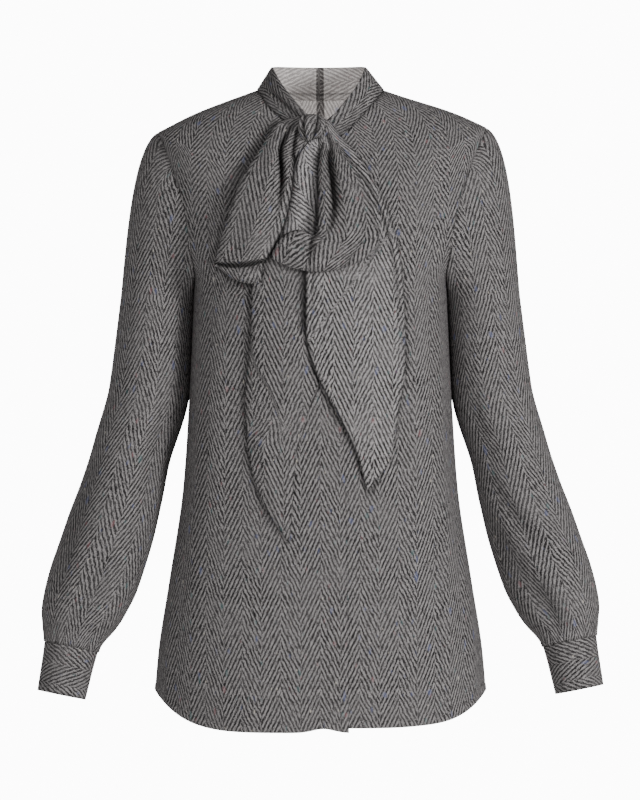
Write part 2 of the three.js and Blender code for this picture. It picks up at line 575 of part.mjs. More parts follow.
function cuffButton(side) {
  const stand = SEAM + 0.15 + BUTTON_THICK / 2; // clear of the cuff's flat facets under the disc's rim
  const foot = placed(side, CUFF_BUTTON_ALONG, sleevePoint(CUFF_BUTTON_TURN, CUFF_BUTTON_ALONG));
  const round = (turn) => placed(side, CUFF_BUTTON_ALONG, sleevePoint(turn, CUFF_BUTTON_ALONG));
  const across = round(CUFF_BUTTON_TURN + 8).sub(round(CUFF_BUTTON_TURN - 8));
  const down = placed(side, 1.14, sleevePoint(CUFF_BUTTON_TURN, 1.14)).sub(foot);
  const outward = across.cross(down).normalize();
  const centre = placed(side, CUFF_BUTTON_ALONG, armCentre(CUFF_BUTTON_ALONG));
  if (outward.dot(foot.clone().sub(centre)) < 0) outward.negate();
  return button(CUFF_BUTTON_RADIUS, foot.addScaledVector(outward, stand), outward);
}

// The cloth's face is a mid grey herringbone; the buttons are dark horn.
const cloth = (roughness) => new THREE.MeshStandardMaterial({ color: 0x6b6766, roughness, metalness: 0 });
const horn = () => new THREE.MeshStandardMaterial({ color: 0x2e2a28, roughness: 0.35, metalness: 0 });

// Turns a geometry's faces round where its grid was laid out the other way, as in a mirror image.
function turned(geometry) {
  const p = geometry.getAttribute("position");
  for (let i = 0; i < p.count; i += 3) {
    const [a, b] = [i + 1, i + 2].map((k) => at(p.getX(k), p.getY(k), p.getZ(k)));
    p.setXYZ(i + 1, b.x, b.y, b.z);
    p.setXYZ(i + 2, a.x, a.y, a.z);
  }
  return geometry;
}

// A wall whose grid is laid out so that its normals point out of the blouse once it is turned, if needed.
function sewn(points, thickness, { mirrored = false, ...options } = {}) {
  const grid = mirrored ? points.map((row) => [...row].reverse()) : points;
  return wall(grid, thickness, options);
}

const blouse = new THREE.Group();

function piece(name, geometry, material) {
  const mesh = new THREE.Mesh(geometry, material);
  mesh.name = name;
  blouse.add(mesh);
}

const rowOnSeam = (i) => onSeam(BODY_ROWS[i]);
const seamAtStart = { flatY: (i, j) => j === 0 && rowOnSeam(i) };
const seamAtEnd = { flatY: (i, j) => j === FRONT_COLUMNS && rowOnSeam(i) };
const seamAtBoth = { flatY: (i, j) => (j === 0 || j === BACK_COLUMNS) && rowOnSeam(i) };

piece("front_right", sewn(frontRight(), CLOTH, seamAtStart), cloth(0.8));
piece("front_left", sewn(frontLeft(), CLOTH, seamAtEnd), cloth(0.8));
piece("back", sewn(backPanel(), CLOTH, seamAtBoth), cloth(0.8));
for (const side of ["left", "right"]) {
  const mirrored = side === "right";
  piece(`sleeve_${side}_upper`, sewn(upperSleeve(side), CLOTH, { round: true, mirrored }), cloth(0.8));
  piece(`sleeve_${side}_lower`, sewn(lowerSleeve(side), CLOTH, { round: true, mirrored }), cloth(0.8));
  piece(`cuff_${side}`, sewn(cuff(side), CLOTH, { round: true, mirrored }), cloth(0.8));
  piece(`cuff_button_${side}`, cuffButton(side), horn());
}
FLY_BUTTONS.forEach((t, i) => piece(`fly_button_${i + 1}`, flyButton(t), horn()));
piece("neckband", sewn(neckband(), TIE_CLOTH), cloth(0.75));
piece("tie_tail_right", sewn(ribbon(TAIL_RIGHT, 16, 5), TIE_CLOTH, { mirrored: true }), cloth(0.75));
piece("tie_tail_left", sewn(ribbon(TAIL_LEFT, 18, 6), TIE_CLOTH, { mirrored: true }), cloth(0.75));
piece("tie_loop_right", sewn(ribbon(LOOP_RIGHT, 22, 6), TIE_CLOTH, { mirrored: true }), cloth(0.75));
piece("tie_loop_left", sewn(ribbon(LOOP_LEFT, 22, 6), TIE_CLOTH, { mirrored: true }), cloth(0.75));
piece("tie_knot", knot(), cloth(0.75));

export default blouse;
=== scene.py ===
"""A tie neck blouse in herringbone crepe, filled out as it is worn, on a pale floor in soft light.

Lengths are in millimetres until a mesh is made. +X is the wearer's left, +Y the back, +Z up.
"""

import json
import math

import bpy
import numpy as np
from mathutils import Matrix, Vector

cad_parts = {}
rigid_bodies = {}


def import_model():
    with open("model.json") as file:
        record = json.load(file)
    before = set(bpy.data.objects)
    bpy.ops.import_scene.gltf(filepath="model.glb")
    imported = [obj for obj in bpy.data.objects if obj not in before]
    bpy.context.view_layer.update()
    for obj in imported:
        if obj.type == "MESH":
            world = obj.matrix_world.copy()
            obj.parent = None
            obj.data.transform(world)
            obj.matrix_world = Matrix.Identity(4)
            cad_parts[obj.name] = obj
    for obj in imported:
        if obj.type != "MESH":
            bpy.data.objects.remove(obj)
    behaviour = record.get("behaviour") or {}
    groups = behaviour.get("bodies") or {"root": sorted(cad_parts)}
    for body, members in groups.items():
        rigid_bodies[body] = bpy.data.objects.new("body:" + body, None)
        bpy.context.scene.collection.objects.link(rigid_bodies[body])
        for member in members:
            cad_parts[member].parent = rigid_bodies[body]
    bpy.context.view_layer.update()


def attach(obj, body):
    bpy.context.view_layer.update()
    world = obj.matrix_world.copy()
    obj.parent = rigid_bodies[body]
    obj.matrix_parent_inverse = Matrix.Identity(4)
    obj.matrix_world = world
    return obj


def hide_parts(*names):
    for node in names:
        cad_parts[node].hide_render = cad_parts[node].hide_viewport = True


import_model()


# Right front. One panel of printed crepe from the side seam to past centre front, with the armhole, the
# shoulder seam, the neckline and a curved shirttail hem. Its fly hides the buttons, so its edge is plain.
def table(names, *rows):
    """Rows with named columns. What a row leaves out at its end is 0."""
    names = names.split()
    return [dict(zip(names, row + (0,) * len(names))) for row in rows]


def lines(names, stops, *rows):
    """Rows that each hold some values, named by names, and then a line's stops, each named by stops."""
    count = len(names.split())
    return [table(names, row[:count])[0] | dict(line=table(stops, *row[count:])) for row in rows]


# Sections of the body from the hem, 0, to the neckline, 1: the height of the hem's line in front, at the
# side and behind, half the width, the depths, how square the section is and how its height falls off.
BODY = table(
    "at zFront zSide zBack half front back curve edge",
    (0, -700, -656, -699, 182, 119, 117, 0.88, 5),
    (0.08, -640, -612, -640, 178, 117, 115, 0.88, 4),
    (0.2, -545, -535, -545, 166, 113, 109, 0.87, 3),
    (0.34, -436, -434, -436, 151, 110, 100, 0.86, 2),
    (0.46, -350, -347, -349, 145, 111, 96, 0.85, 2),
    (0.56, -280, -268, -278, 141, 112, 98, 0.84, 2),
    (0.635, -232, -212, -226, 139, 110, 100, 0.83, 2),
    (0.68, -201, -178, -193, 151, 107, 100, 0.83, 2),
    (0.72, -175, -146, -164, 160, 103, 99, 0.83, 2),
    (0.79, -134, -90, -116, 171, 94, 93, 0.83, 1.9),
    (0.86, -100, -44, -70, 178, 83, 83, 0.83, 1.7),
    (0.865, -98.4, -42.3, -67, 174.6, 82.4, 82.3, 0.831, 1.68),
    (0.92, -81, -23.5, -34, 137, 75, 74, 0.84, 1.5),
    (1, -64, 2, -1, 70, 66, 60, 0.86, 1.2),
)
UNDERARM, SHOULDER_TIP, NECKLINE, SIDE_SEAM = 0.635, 0.86, 1.0, 90.0
ARMHOLE = table(
    "at angle",
    (UNDERARM, 90), (0.643, 79), (0.657, 72.5), (0.68, 67), (0.71, 63.5), (0.75, 62.5), (0.79, 66),
    (0.82, 71), (0.842, 78), (SHOULDER_TIP, 90),
)
# Soft folds: angle is counted from centre front towards the wearer's left, low and high are the heights
# of a fold's ends, wide is half its width in degrees, and out how far it stands out, or in if negative.
BODY_FOLDS = table(
    "angle low high wide out",
    (-52, 0.12, 0.66, 13, 3.5),
    (-34, 0.3, 0.6, 9, -2.5),
    (50, 0.2, 0.68, 12, 3.5),
    (34, 0.38, 0.62, 8, -2),
    (-22, -0.3, 0.16, 12, 3),
    (128, 0.1, 0.62, 12, 4),
    (154, -0.2, 0.5, 11, -3),
    (-130, 0.05, 0.6, 12, 4),
    (-158, -0.2, 0.45, 10, -3),
)
LEFT_SHOULDER_UP, LEFT_SHOULDER_OUT = 5, 4
SEAM = 0.3
LEFT_HEM_UP, HEM_FADE = 5, 0.08
RIGHT_HEM_WAVE = dict(x=3, wide=16, up=4.5)
FLY_EDGE = table("at over under", (0, 31, -14), (0.5, 24, -14), (NECKLINE, 14, -10))
FLY_DEPTH = 4.1
PANEL_THICK = 0.8
SEAM_DIP, SEAM_DIP_WIDE = 0.3, 2.4


def column(rows, key, place):
    """One column of a table, read smoothly between its rows without overshooting them."""
    at = np.array([row["at"] for row in rows], float)
    value = np.array([row[key] for row in rows], float)
    slope = np.diff(value) / np.diff(at)
    before, after = slope[:-1], slope[1:]
    both = before + after
    middle = np.where(before * after > 0, 2 * before * after / np.where(both == 0, 1, both), 0)
    tangent = np.concatenate([slope[:1], middle, slope[-1:]])
    place = np.asarray(place, float)
    i = np.clip(np.searchsorted(at, place, side="left") - 1, 0, len(at) - 2)
    span = at[i + 1] - at[i]
    s = np.clip((place - at[i]) / span, 0, 1)
    return bridge(s, value[i], span * tangent[i], value[i + 1], span * tangent[i + 1])


def bridge(s, first, leave, last, arrive):
    """A smooth way from first to last, s from 0 to 1, with its slopes at both ends."""
    back = 3 * s**2 - 2 * s**3
    return (1 - back) * first + (s**3 - 2 * s**2 + s) * leave + back * last + (s**3 - s**2) * arrive


def bell(away, wide):
    return np.exp(-((away / wide) ** 2))


def smooth(x, low, high):
    s = np.clip((np.asarray(x, float) - low) / (high - low), 0, 1)
    return s * s * (3 - 2 * s)


def power(x, exponent):
    return np.sign(x) * np.abs(x) ** exponent


def unit(v):
    return v / np.maximum(np.linalg.norm(v, axis=-1, keepdims=True), 1e-9)


def body_relief(angle, t):
    total = 0.0
    for fold in BODY_FOLDS:
        run = np.clip((t - fold["low"]) / (fold["high"] - fold["low"]), 0, 1)
        total += fold["out"] * bell(angle - fold["angle"], fold["wide"]) * 4 * run * (1 - run)
    return total


def body_point(angle, t, inset=0.0, relief=True):
    """A point on the body's outer face. angle is in degrees from centre front, t from the hem up."""
    angle, t = np.broadcast_arrays(np.asarray(angle, float), np.asarray(t, float))
    s, c = np.sin(np.radians(angle)), np.cos(np.radians(angle))
    facing = c >= 0
    half, curve = column(BODY, "half", t), column(BODY, "curve", t)
    deep = np.where(facing, column(BODY, "front", t), column(BODY, "back", t))
    side = column(BODY, "zSide", t)
    centre = np.where(facing, column(BODY, "zFront", t), column(BODY, "zBack", t))
    z = side + (centre - side) * (1 - np.abs(s) ** column(BODY, "edge", t))
    raised = smooth(t, 0.7, SHOULDER_TIP) * (1 - smooth(t, SHOULDER_TIP, NECKLINE))
    raised = np.where(s > 0, s * s, 0) * raised
    x = half * power(s, curve) + LEFT_SHOULDER_OUT * raised
    y = -deep * power(c, curve)
    outward = unit(np.stack([x / half**2, y / deep**2, 0 * x], -1))
    out = (body_relief(angle, t) if relief else 0 * x) - inset
    return np.stack([x, y, z + LEFT_SHOULDER_UP * raised], -1) + outward * out[..., None]


def armhole_angle(t):
    t = np.asarray(t, float)
    return np.where((t <= UNDERARM) | (t >= SHOULDER_TIP), SIDE_SEAM, column(ARMHOLE, "angle", t))


def angle_at(x, t):
    share = np.minimum(1, np.abs(x) / column(BODY, "half", t))
    return np.sign(x) * np.degrees(np.arcsin(share ** (1 / column(BODY, "curve", t))))


# Where the tie's edges lie close to the front, as seen from the front: painted shade on the front beside
# them.
TIE_SHADE = lines(
    "wide dark", "x z",
    (6, 0.42, (-116, -190), (-113, -177), (-96, -118), (-82, -85), (-69, -66), (-50, -38)),
    (4, 0.55, (-118, -188), (-100, -205), (-82, -214), (-66, -212)),
    (3.6, 0.5, (-77, -214), (-76, -256), (-83, -339), (-79, -394), (-72, -427), (-62, -460), (-35, -491)),
    (2.8, 0.6, (-4, -312), (8, -340), (36, -391), (52, -438)),
    (3.6, 0.45, (62, -140), (86, -206), (91, -253), (92.5, -300), (85, -337), (78, -383), (56, -438)),
)


def shade_near(points, edges):
    """How dark a shade is painted on points beside lines that are given as they are seen from the front.
    """
    spots = points[..., [0, 2]]
    total = np.zeros(spots.shape[:2])
    for edge in edges:
        stops = np.array([(stop["x"], stop["z"]) for stop in edge["line"]], float)
        nearest = np.full(spots.shape[:2], 1e9)
        for a, b in zip(stops[:-1], stops[1:]):
            run = np.clip(((spots - a) @ (b - a)) / ((b - a) @ (b - a)), 0, 1)
            nearest = np.minimum(nearest, np.linalg.norm(spots - a - run[..., None] * (b - a), axis=-1))
        total = np.maximum(total, edge["dark"] * bell(nearest, edge["wide"]))
    return total


def hem_rise(side, x, t):
    fade = 1 - smooth(t, 0, HEM_FADE)
    if side == "left":
        return fade * LEFT_HEM_UP * (1 - smooth(x, 100, 182))
    return fade * RIGHT_HEM_WAVE["up"] * bell(x - RIGHT_HEM_WAVE["x"], RIGHT_HEM_WAVE["wide"])


def lengths_along(points, axis):
    """How far each point of a grid lies along its own row or column, from the first."""
    step = np.linalg.norm(np.diff(points, axis=axis), axis=-1)
    zero = np.zeros_like(np.take(step, [0], axis=axis))
    return np.concatenate([zero, np.cumsum(step, axis=axis)], axis=axis)


def facing(points):
    """The way that the face of a grid points, at each of its points."""
    return unit(np.cross(np.gradient(points, axis=1), np.gradient(points, axis=0)))


def seam_dip(points, *edges):
    """Sinks a panel softly along the seams at some of its edges, as stitching draws the cloth in."""
    dip = np.zeros(points.shape[:2])
    for edge in edges:
        axis = 0 if edge in ("low", "high") else 1
        away = lengths_along(points, axis)
        if edge in ("high", "end"):
            away = away.max(axis, keepdims=True) - away
        dip = np.maximum(dip, bell(away, SEAM_DIP_WIDE))
    return points - facing(points) * (SEAM_DIP * dip)[..., None]


def grid_faces(rows, columns, ring=False):
    """The four-sided faces of a grid of points, as the numbers of their corners."""
    i, j = np.meshgrid(np.arange(rows - 1), np.arange(columns if ring else columns - 1), indexing="ij")
    a, b = i * columns + j, i * columns + (j + 1) % columns
    return np.stack([a, b, b + columns, a + columns], -1).reshape(-1, 4)


def shell(name, points, cloth, looks, thick=PANEL_THICK, ring=False, shade=0.0):
    """A mesh from a grid of points, given a thickness on its inside. cloth is each point's place on the
    flat cloth, across and along the grain; a ring's has one more column. shade is painted shade: how far
    each point's colour is darkened towards black, from 0 to 1, for the shade in folds and under edges."""
    rows, columns = points.shape[:2]
    mesh = bpy.data.meshes.new(name)
    mesh.from_pydata((points.reshape(-1, 3) / 1000).tolist(), [], grid_faces(rows, columns, ring).tolist())
    uv = np.stack([cloth[:-1, :-1], cloth[:-1, 1:], cloth[1:, 1:], cloth[1:, :-1]], -2)
    layer = mesh.uv_layers.new(name="cloth")
    layer.data.foreach_set("uv", (uv.reshape(-1) / 1000).astype(np.float32))
    depth = mesh.attributes.new("shade", "FLOAT", "POINT")
    depth.data.foreach_set("value", np.broadcast_to(shade, (rows, columns)).reshape(-1).astype(np.float32))
    mesh.shade_smooth()
    piece = bpy.data.objects.new(name, mesh)
    bpy.context.scene.collection.objects.link(piece)
    wall = piece.modifiers.new("wall", "SOLIDIFY")
    wall.thickness = thick / 1000
    wall.offset = -1
    for look in looks:
        mesh.materials.append(look)
    wall.material_offset = len(looks) - 1
    return piece


def sewn(piece, slot, *nodes, **sheet):
    """Attaches a piece of cloth to the root body and hides the solids of the nodes that it stands for. Its
    slot, and its cut and what holds it in sheet, are not used.
    """
    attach(piece, "root")
    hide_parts(*nodes)


def operator(operation, swapped=False):
    def work_out(self, *others):
        values = (*others, self) if swapped else (self, *others)
        return self.look.node("ShaderNodeMath", dict(operation=operation), *values)
    return work_out


class Socket:
    """A shader value that is worked with as a number."""

    __add__, __radd__ = operator("ADD"), operator("ADD", swapped=True)
    __sub__, __rsub__ = operator("SUBTRACT"), operator("SUBTRACT", swapped=True)
    __mul__, __rmul__ = operator("MULTIPLY"), operator("MULTIPLY", swapped=True)
    __truediv__, __rtruediv__ = operator("DIVIDE"), operator("DIVIDE", swapped=True)
    abs, floor, fract = operator("ABSOLUTE"), operator("FLOOR"), operator("FRACT")
    most, over = operator("MAXIMUM"), operator("GREATER_THAN")

    def __init__(self, look, socket):
        self.look, self.socket = look, socket

    def between(self, low, high):
        """0 below low, 1 above high, smooth from one to the other."""
        smooth_step = dict(interpolation_type="SMOOTHSTEP")
        return self.look.node("ShaderNodeMapRange", smooth_step, self, low, high, 0.0, 1.0)


class Look:
    """A material whose nodes are made one call each."""

    def __init__(self, name):
        self.material = bpy.data.materials.new(name)
        self.material.use_nodes = True
        self.tree = self.material.node_tree
        self.shader = next(n for n in self.tree.nodes if n.type == "BSDF_PRINCIPLED")

    def node(self, kind, settings=None, *inputs, out=0, **named):
        made = self.tree.nodes.new(kind)
        for key, value in (settings or {}).items():
            setattr(made, key, value)
        for key, value in [*enumerate(inputs), *named.items()]:
            self.put(made.inputs[key], value)
        return Socket(self, made.outputs[out])

    def put(self, socket, value):
        if isinstance(value, Socket):
            self.tree.links.new(value.socket, socket)
        else:
            socket.default_value = value

    def mix(self, share, first, second):
        made = self.tree.nodes.new("ShaderNodeMix")
        made.data_type = "RGBA"
        for place, value in zip((0, 6, 7), (share, first, second)):
            self.put(made.inputs[place], value)
        return Socket(self, made.outputs[2])

    def noise(self, across, along, layer=0.0, detail=2.0, rough=0.5):
        place = self.node("ShaderNodeCombineXYZ", None, across, along, layer)
        sizes = dict(Vector=place, Scale=1.0, Detail=detail, Roughness=rough)
        return self.node("ShaderNodeTexNoise", None, **sizes)

    def finish(self, **values):
        for key, value in values.items():
            self.put(self.shader.inputs[key.replace("_", " ")], value)
        return self.material


STRIPE_WIDE = 0.0215  # one column of the herringbone
LINE_PITCH = 0.0098  # from one light line to the next, along the cloth
LINE_SLOPE = 2.15  # how far a line climbs for each metre across
DARK, LIGHT = (0.011, 0.0100, 0.0105, 1), (0.274, 0.259, 0.257, 1)
# The inside faces are printed much lighter than the outside: painted light, for the light in the blouse's
# hollow and through its sheer cloth.
INSIDE_DARK, INSIDE_LIGHT = (0.26, 0.24, 0.235, 1), (0.66, 0.63, 0.61, 1)
NUBS = table(
    "red green blue above layer size much",
    (0.12, 0.14, 0.27, 0.74, 20, 0.45, 0.36),
    (0.25, 0.11, 0.12, 0.76, 31, 0.55, 0.36),
    (0.5, 0.46, 0.4, 0.79, 43, 1.1, 0.7),
    (0.07, 0.15, 0.15, 0.75, 57, 0.5, 0.35),
)


def herringbone(name, dark=DARK, light=LIGHT, seam=None, painted_glow=0.0):
    """Printed crepe. seam marks a strip where two layers of a sheer inside lie on each other: the way it
    is crossed, its half width, where it starts and how dark it is. The last argument is painted light: the
    cloth gives off its own colour, standing in for light that comes through the sheer cloth."""
    look = Look(name)
    spot = look.node("ShaderNodeUVMap", dict(uv_map="cloth"))
    across, along = (look.node("ShaderNodeSeparateXYZ", None, spot, out=axis) for axis in (0, 1))
    # The printed lines waver, break up and lie at uneven distances.
    waver = look.noise(across * 45, along * 45) - 0.5
    fine = look.noise(across * 260, along * 260, 3.0, 1.0) - 0.5
    stripe = (across + waver * 0.003 + fine * 0.0012) / STRIPE_WIDE
    which = stripe.floor()
    odd = (which / 2).fract() * 2
    inside = stripe.fract()
    climb = (inside * (1 - odd * 2) + odd) * (STRIPE_WIDE * LINE_SLOPE)
    phase = ((along + climb + waver * 0.006 + fine * 0.0030) / LINE_PITCH + odd * 0.5).fract()
    line = 1 - (phase * 2 - 1).abs()
    # Yarn: streaks that run with the lines, and a coarse fleck of light and dark over all.
    streak = look.noise((along + climb) * 480, (along - climb) * 85, 5.0, 2.0, 0.6) - 0.5
    grain = look.noise(across * 900, along * 700, 7.0, 2.0, 0.7) - 0.5
    tone = (line * 0.82 + streak * 2.2 + grain * 2.0 + 0.07).between(0.15, 1.0)
    colour = look.mix(tone, dark, light)
    cast = look.noise(across * 22, along * 22, 11.0, 3.0) - 0.5
    halfway = tuple(0.5 * (low + high) for low, high in zip(dark, light))
    colour = look.mix((cast + 0.08).most(0.0), colour, halfway)
    for nub in NUBS:
        fleck = look.noise(across * 300 * nub["size"], along * 140 * nub["size"], nub["layer"], 0.0)
        spotted = fleck.between(nub["above"], nub["above"] + 0.10) * nub["much"]
        colour = look.mix(spotted, colour, (nub["red"], nub["green"], nub["blue"], 1))
    if seam:
        way = along if seam["crosses"] == "along" else across
        strip = 1 - way.abs().between(seam["wide"] * 0.9, seam["wide"])
        strip = strip * along.over(seam["above"]) * (0.72 + 0.28 * (1 - tone))
        colour = look.mix(strip * seam["dark"], colour, (0.03, 0.027, 0.027, 1))
    # Painted shade: the mesh's shade attribute darkens the colour towards black in folds and under edges.
    deep = look.node("ShaderNodeAttribute", dict(attribute_name="shade"), out=2)
    colour = look.mix(deep, colour, (0.004, 0.004, 0.004, 1))
    # Painted light: the cloth gives off its own colour as though lit through from behind.
    if painted_glow:
        look.finish(Emission_Color=colour, Emission_Strength=painted_glow)
    height = look.noise(across * 800, along * 800, 2.0) * 0.7 + tone * 0.3
    bump = look.node("ShaderNodeBump", None, Strength=0.3, Distance=0.0004, Height=height)
    return look.finish(Base_Color=colour, Roughness=0.9, Specular_IOR_Level=0.15, Normal=bump)


def stations(*stretches):
    """Places along a length, each stretch (from, to, steps) at its own spacing."""
    parts = [np.linspace(a, b, n, endpoint=False) for a, b, n in stretches]
    return np.concatenate([*parts, [stretches[-1][1]]])


BODY_ROWS = stations(
    (0, 0.02, 6), (0.02, 0.62, 80), (0.62, UNDERARM, 4), (UNDERARM, 0.665, 14), (0.665, 0.83, 34),
    (0.83, SHOULDER_TIP, 12), (SHOULDER_TIP, NECKLINE, 26),
)
ROWS = BODY_ROWS[:, None]


def panel_cloth(angles, centre):
    """Where each point of a panel lies on its flat cloth: across from its centre line, along upwards."""
    turn = np.linspace(-90, 90, 60)
    run = lengths_along(body_point(centre + turn[None, :], ROWS, relief=False), 1)
    across = np.stack([
        np.interp(a - centre, turn, l) - np.interp(0, turn, l) for a, l in zip(angles, run)
    ])
    return np.stack([across, lengths_along(body_point(angles, ROWS, relief=False), 0)], -1)


def hem_edge(points, cloth):
    """A narrow turned hem: it stands out a little over its depth, and is drawn in at its stitching."""
    up = cloth[..., 1] - cloth[:1, :, 1]
    bulge = 0.5 * (1 - smooth(up, 5.5, 6.5)) - 0.5 * bell(up - 6.5, 0.9)
    return points + facing(points) * bulge[..., None]


def spread(first, last, steps):
    """Angles from one edge of a panel to the other, a row for each height."""
    return first[:, None] + (last - first)[:, None] * np.linspace(0, 1, steps)[None, :]


def front(side, angles, seam, inset=0.0):
    """A front's points and their places on its flat cloth."""
    points = body_point(angles, ROWS, inset=inset)
    points[..., 1] -= SEAM / 2
    points[..., 2] += hem_rise(side, points[..., 0], ROWS)
    cloth = panel_cloth(angles, 0)
    return seam_dip(hem_edge(points, cloth), seam, "high"), cloth


FRONT_STEPS = 84
over = angle_at(column(FLY_EDGE, "over", BODY_ROWS), BODY_ROWS)
points, cloth = front("right", spread(-armhole_angle(BODY_ROWS), over, FRONT_STEPS), "start")
crepe = herringbone("crepe")
crepe_inside = herringbone("crepe_inside", INSIDE_DARK, INSIDE_LIGHT, painted_glow=0.25)
looks = [crepe, crepe_inside]
# Painted shade on the front beside the tie's edges.
piece = shell("right_front", points, cloth, looks, shade=shade_near(points, TIE_SHADE))
sewn(piece, "cloth", "front_right", flat=(0.27, 0.74), held="hung", rests_on=["neckband"], area=0.148)


# Left front. The mirror panel of the same crepe, sewn to the back at its side and shoulder. Its fly lies
# sunk under the right front's edge, by the depth of the buttons.
over = column(FLY_EDGE, "over", BODY_ROWS)[:, None]
under = angle_at(column(FLY_EDGE, "under", BODY_ROWS), BODY_ROWS)
angles = spread(under, armhole_angle(BODY_ROWS), FRONT_STEPS)
x_flat = body_point(angles, ROWS, relief=False)[..., 0]
sunk = (FLY_DEPTH - 1) * (1 - smooth(x_flat, np.maximum(over - 14, 5.5), over - 2))
sunk += 1 - smooth(x_flat, over - 0.5, over + 6)
points, cloth = front("left", angles, "end", sunk)
# Painted shade on the front beside the tie's edges.
piece = shell("left_front", points, cloth, looks, shade=shade_near(points, TIE_SHADE))
sewn(piece, "cloth", "front_left", flat=(0.25, 0.74), held="hung", rests_on=["neckband"], area=0.142)


# Back. One panel of the crepe from side seam to side seam, sewn to both fronts. Its seam allowance lies
# inside them. Along the armholes, where the sleeves are sewn on, it is turned back.
BACK_STEPS = 130
ALLOWANCE = dict(degrees=2.2, turned_back=1.5, inset=1.4)
side = armhole_angle(BODY_ROWS)
angles = spread(180 - side, 180 + side, BACK_STEPS)
seamed = (ROWS <= UNDERARM) | (ROWS >= SHOULDER_TIP)
outwards = np.where(seamed, ALLOWANCE["degrees"], -ALLOWANCE["turned_back"])
first, last = angles[:, :1], angles[:, -1:]
angles = np.concatenate([first - outwards, first, angles, last, last + outwards], 1)
inset = np.full((1, BACK_STEPS + 4), ALLOWANCE["inset"])
middle = slice(2, -2)
inset[:, middle] = 0
points = body_point(angles, ROWS, inset=inset)
points[..., 1] += SEAM / 2
cloth = panel_cloth(angles, 180)
points[:, middle] = seam_dip(hem_edge(points[:, middle], cloth[:, middle]), "start", "end", "high")
back_seam = dict(crosses="across", wide=0.0045, above=0.665, dark=0.9)
back_inside = herringbone("back_inside", INSIDE_DARK, INSIDE_LIGHT, seam=back_seam, painted_glow=0.62)
piece = shell("back_panel", points, cloth, [crepe, back_inside])
sewn(piece, "cloth", "back", flat=(0.45, 0.75), held="hung", rests_on=["neckband"], area=0.28)


# Sleeves. Each is one piece of the crepe, set into the armhole with a smooth head and gathered into its
# cuff. The right one mirrors the left one and hangs a little lower.
SLEEVE = table(
    "at x y z across deep",
    (0, 178.6, 10, -229, 41.5, 54),
    (0.14, 183.9, 9, -284, 43.1, 54),
    (0.25, 188.2, 7, -328, 44.6, 54),
    (0.41, 207, 2, -394, 43.5, 53),
    (0.52, 218.5, -5, -438, 46, 53),
    (0.62, 232, -11, -482, 49, 53),
    (0.73, 247, -15, -526, 49.5, 52),
    (0.8, 257.5, -17, -552, 47, 49),
    (0.87, 266, -19, -574, 42, 44),
    (0.93, 270.5, -21, -590, 35, 38),
    (1, 273.5, -22.5, -604, 30, 33),
    (1.2, 284, -26, -656, 27, 31),
)
# How the head leaves the armhole at each turn round it, and how far it takes to settle into the arm.
HEAD = table(
    "at x y z leave settle",
    (0, 0.92, 0, -0.4, 94, 172),
    (45, 0.87, -0.04, -0.47, 82, 140),
    (90, 0.78, 0.02, -0.6, 56, 95),
    (135, 0.72, -0.04, -0.68, 34, 42),
    (180, 0.02, 0, -1, 11, 11),
)
# Creases of a sleeve: turn is the place round the arm in degrees, 0 outside and 90 in front, twist how far
# it runs round for each unit along, low and high its ends, wide its half width in degrees.
SLEEVE_CREASES = {
    "left": table(
        "turn twist low high wide out",
        (120, -150, 0.52, 0.98, 22, -4.5),
        (70, -120, 0.5, 0.9, 20, 3),
        (120, -60, 0.2, 0.5, 18, -3),
        (250, 60, 0.45, 0.95, 22, -4),
        (101, -230, 0.46, 0.77, 13, -5),
        (78, -230, 0.5, 0.78, 14, 2.5),
        (110, 0, 0.72, 0.99, 13, -4),
    ),
    "right": table(
        "turn twist low high wide out",
        (35, 40, 0.42, 0.86, 20, -4),
        (95, -60, 0.6, 0.98, 20, -3.5),
        (125, 0, 0.2, 0.6, 18, -3),
        (255, -50, 0.45, 0.95, 22, -4),
    ),
}
GATHERS = 23
RIGHT_SLEEVE_EXTRA = 6
ARMHOLE_SEAM = 0.05
SLEEVE_ROUND = 144
SLEEVE_ROWS = stations((0, 0.8, 90), (0.8, 1.0, 40), (1.0, 1.03, 3))
INTO_CUFF = 2.0  # how much narrower the sleeve is once it has gone into the cuff
HEAD_ROWS = stations((0, 0.1, 6), (0.1, 1.0, 40))[:-1]


def arm_centre(along):
    return np.stack([column(SLEEVE, key, along) for key in "xyz"], -1)


def arm_frame(along):
    down = unit(arm_centre(along + 0.02) - arm_centre(along - 0.02))
    sideways = unit(np.stack([-down[..., 2], 0 * down[..., 0], down[..., 0]], -1))
    return down, sideways, np.cross(down, sideways)


def sleeve_point(turn, along, out=0.0):
    turn, along = np.broadcast_arrays(np.asarray(turn, float), np.asarray(along, float))
    _, sideways, forward = arm_frame(along)
    c, s = np.cos(np.radians(turn)), np.sin(np.radians(turn))
    across = (column(SLEEVE, "across", along) + out) * c
    deep = (column(SLEEVE, "deep", along) + out) * s
    return arm_centre(along) + sideways * across[..., None] + forward * deep[..., None]


def sleeve_relief(side, turn, along):
    total = 0.0
    for fold in SLEEVE_CREASES[side]:
        middle = (fold["low"] + fold["high"]) / 2
        run = (along - middle) / ((fold["high"] - fold["low"]) / 2)
        away = (turn - fold["turn"] - fold["twist"] * (along - middle) + 180) % 360 - 180
        total += fold["out"] * bell(away, fold["wide"]) * np.maximum(0, 1 - run * run)
    # The gathers are uneven: two waves of unlike number run together and die out up the arm.
    uneven = 0.7 * np.cos(np.radians(GATHERS * turn)) + 0.5 * np.cos(np.radians((GATHERS - 8) * turn + 70))
    length = 0.9 - 0.05 * np.cos(np.radians(5 * turn + 20)) - 0.03 * np.cos(np.radians(9 * turn))
    gather = np.clip((along - length) / (1 - length), 0, 1) ** 1.5
    return total + 1.5 * gather * uneven - INTO_CUFF * smooth(along, 0.992, 1.003)


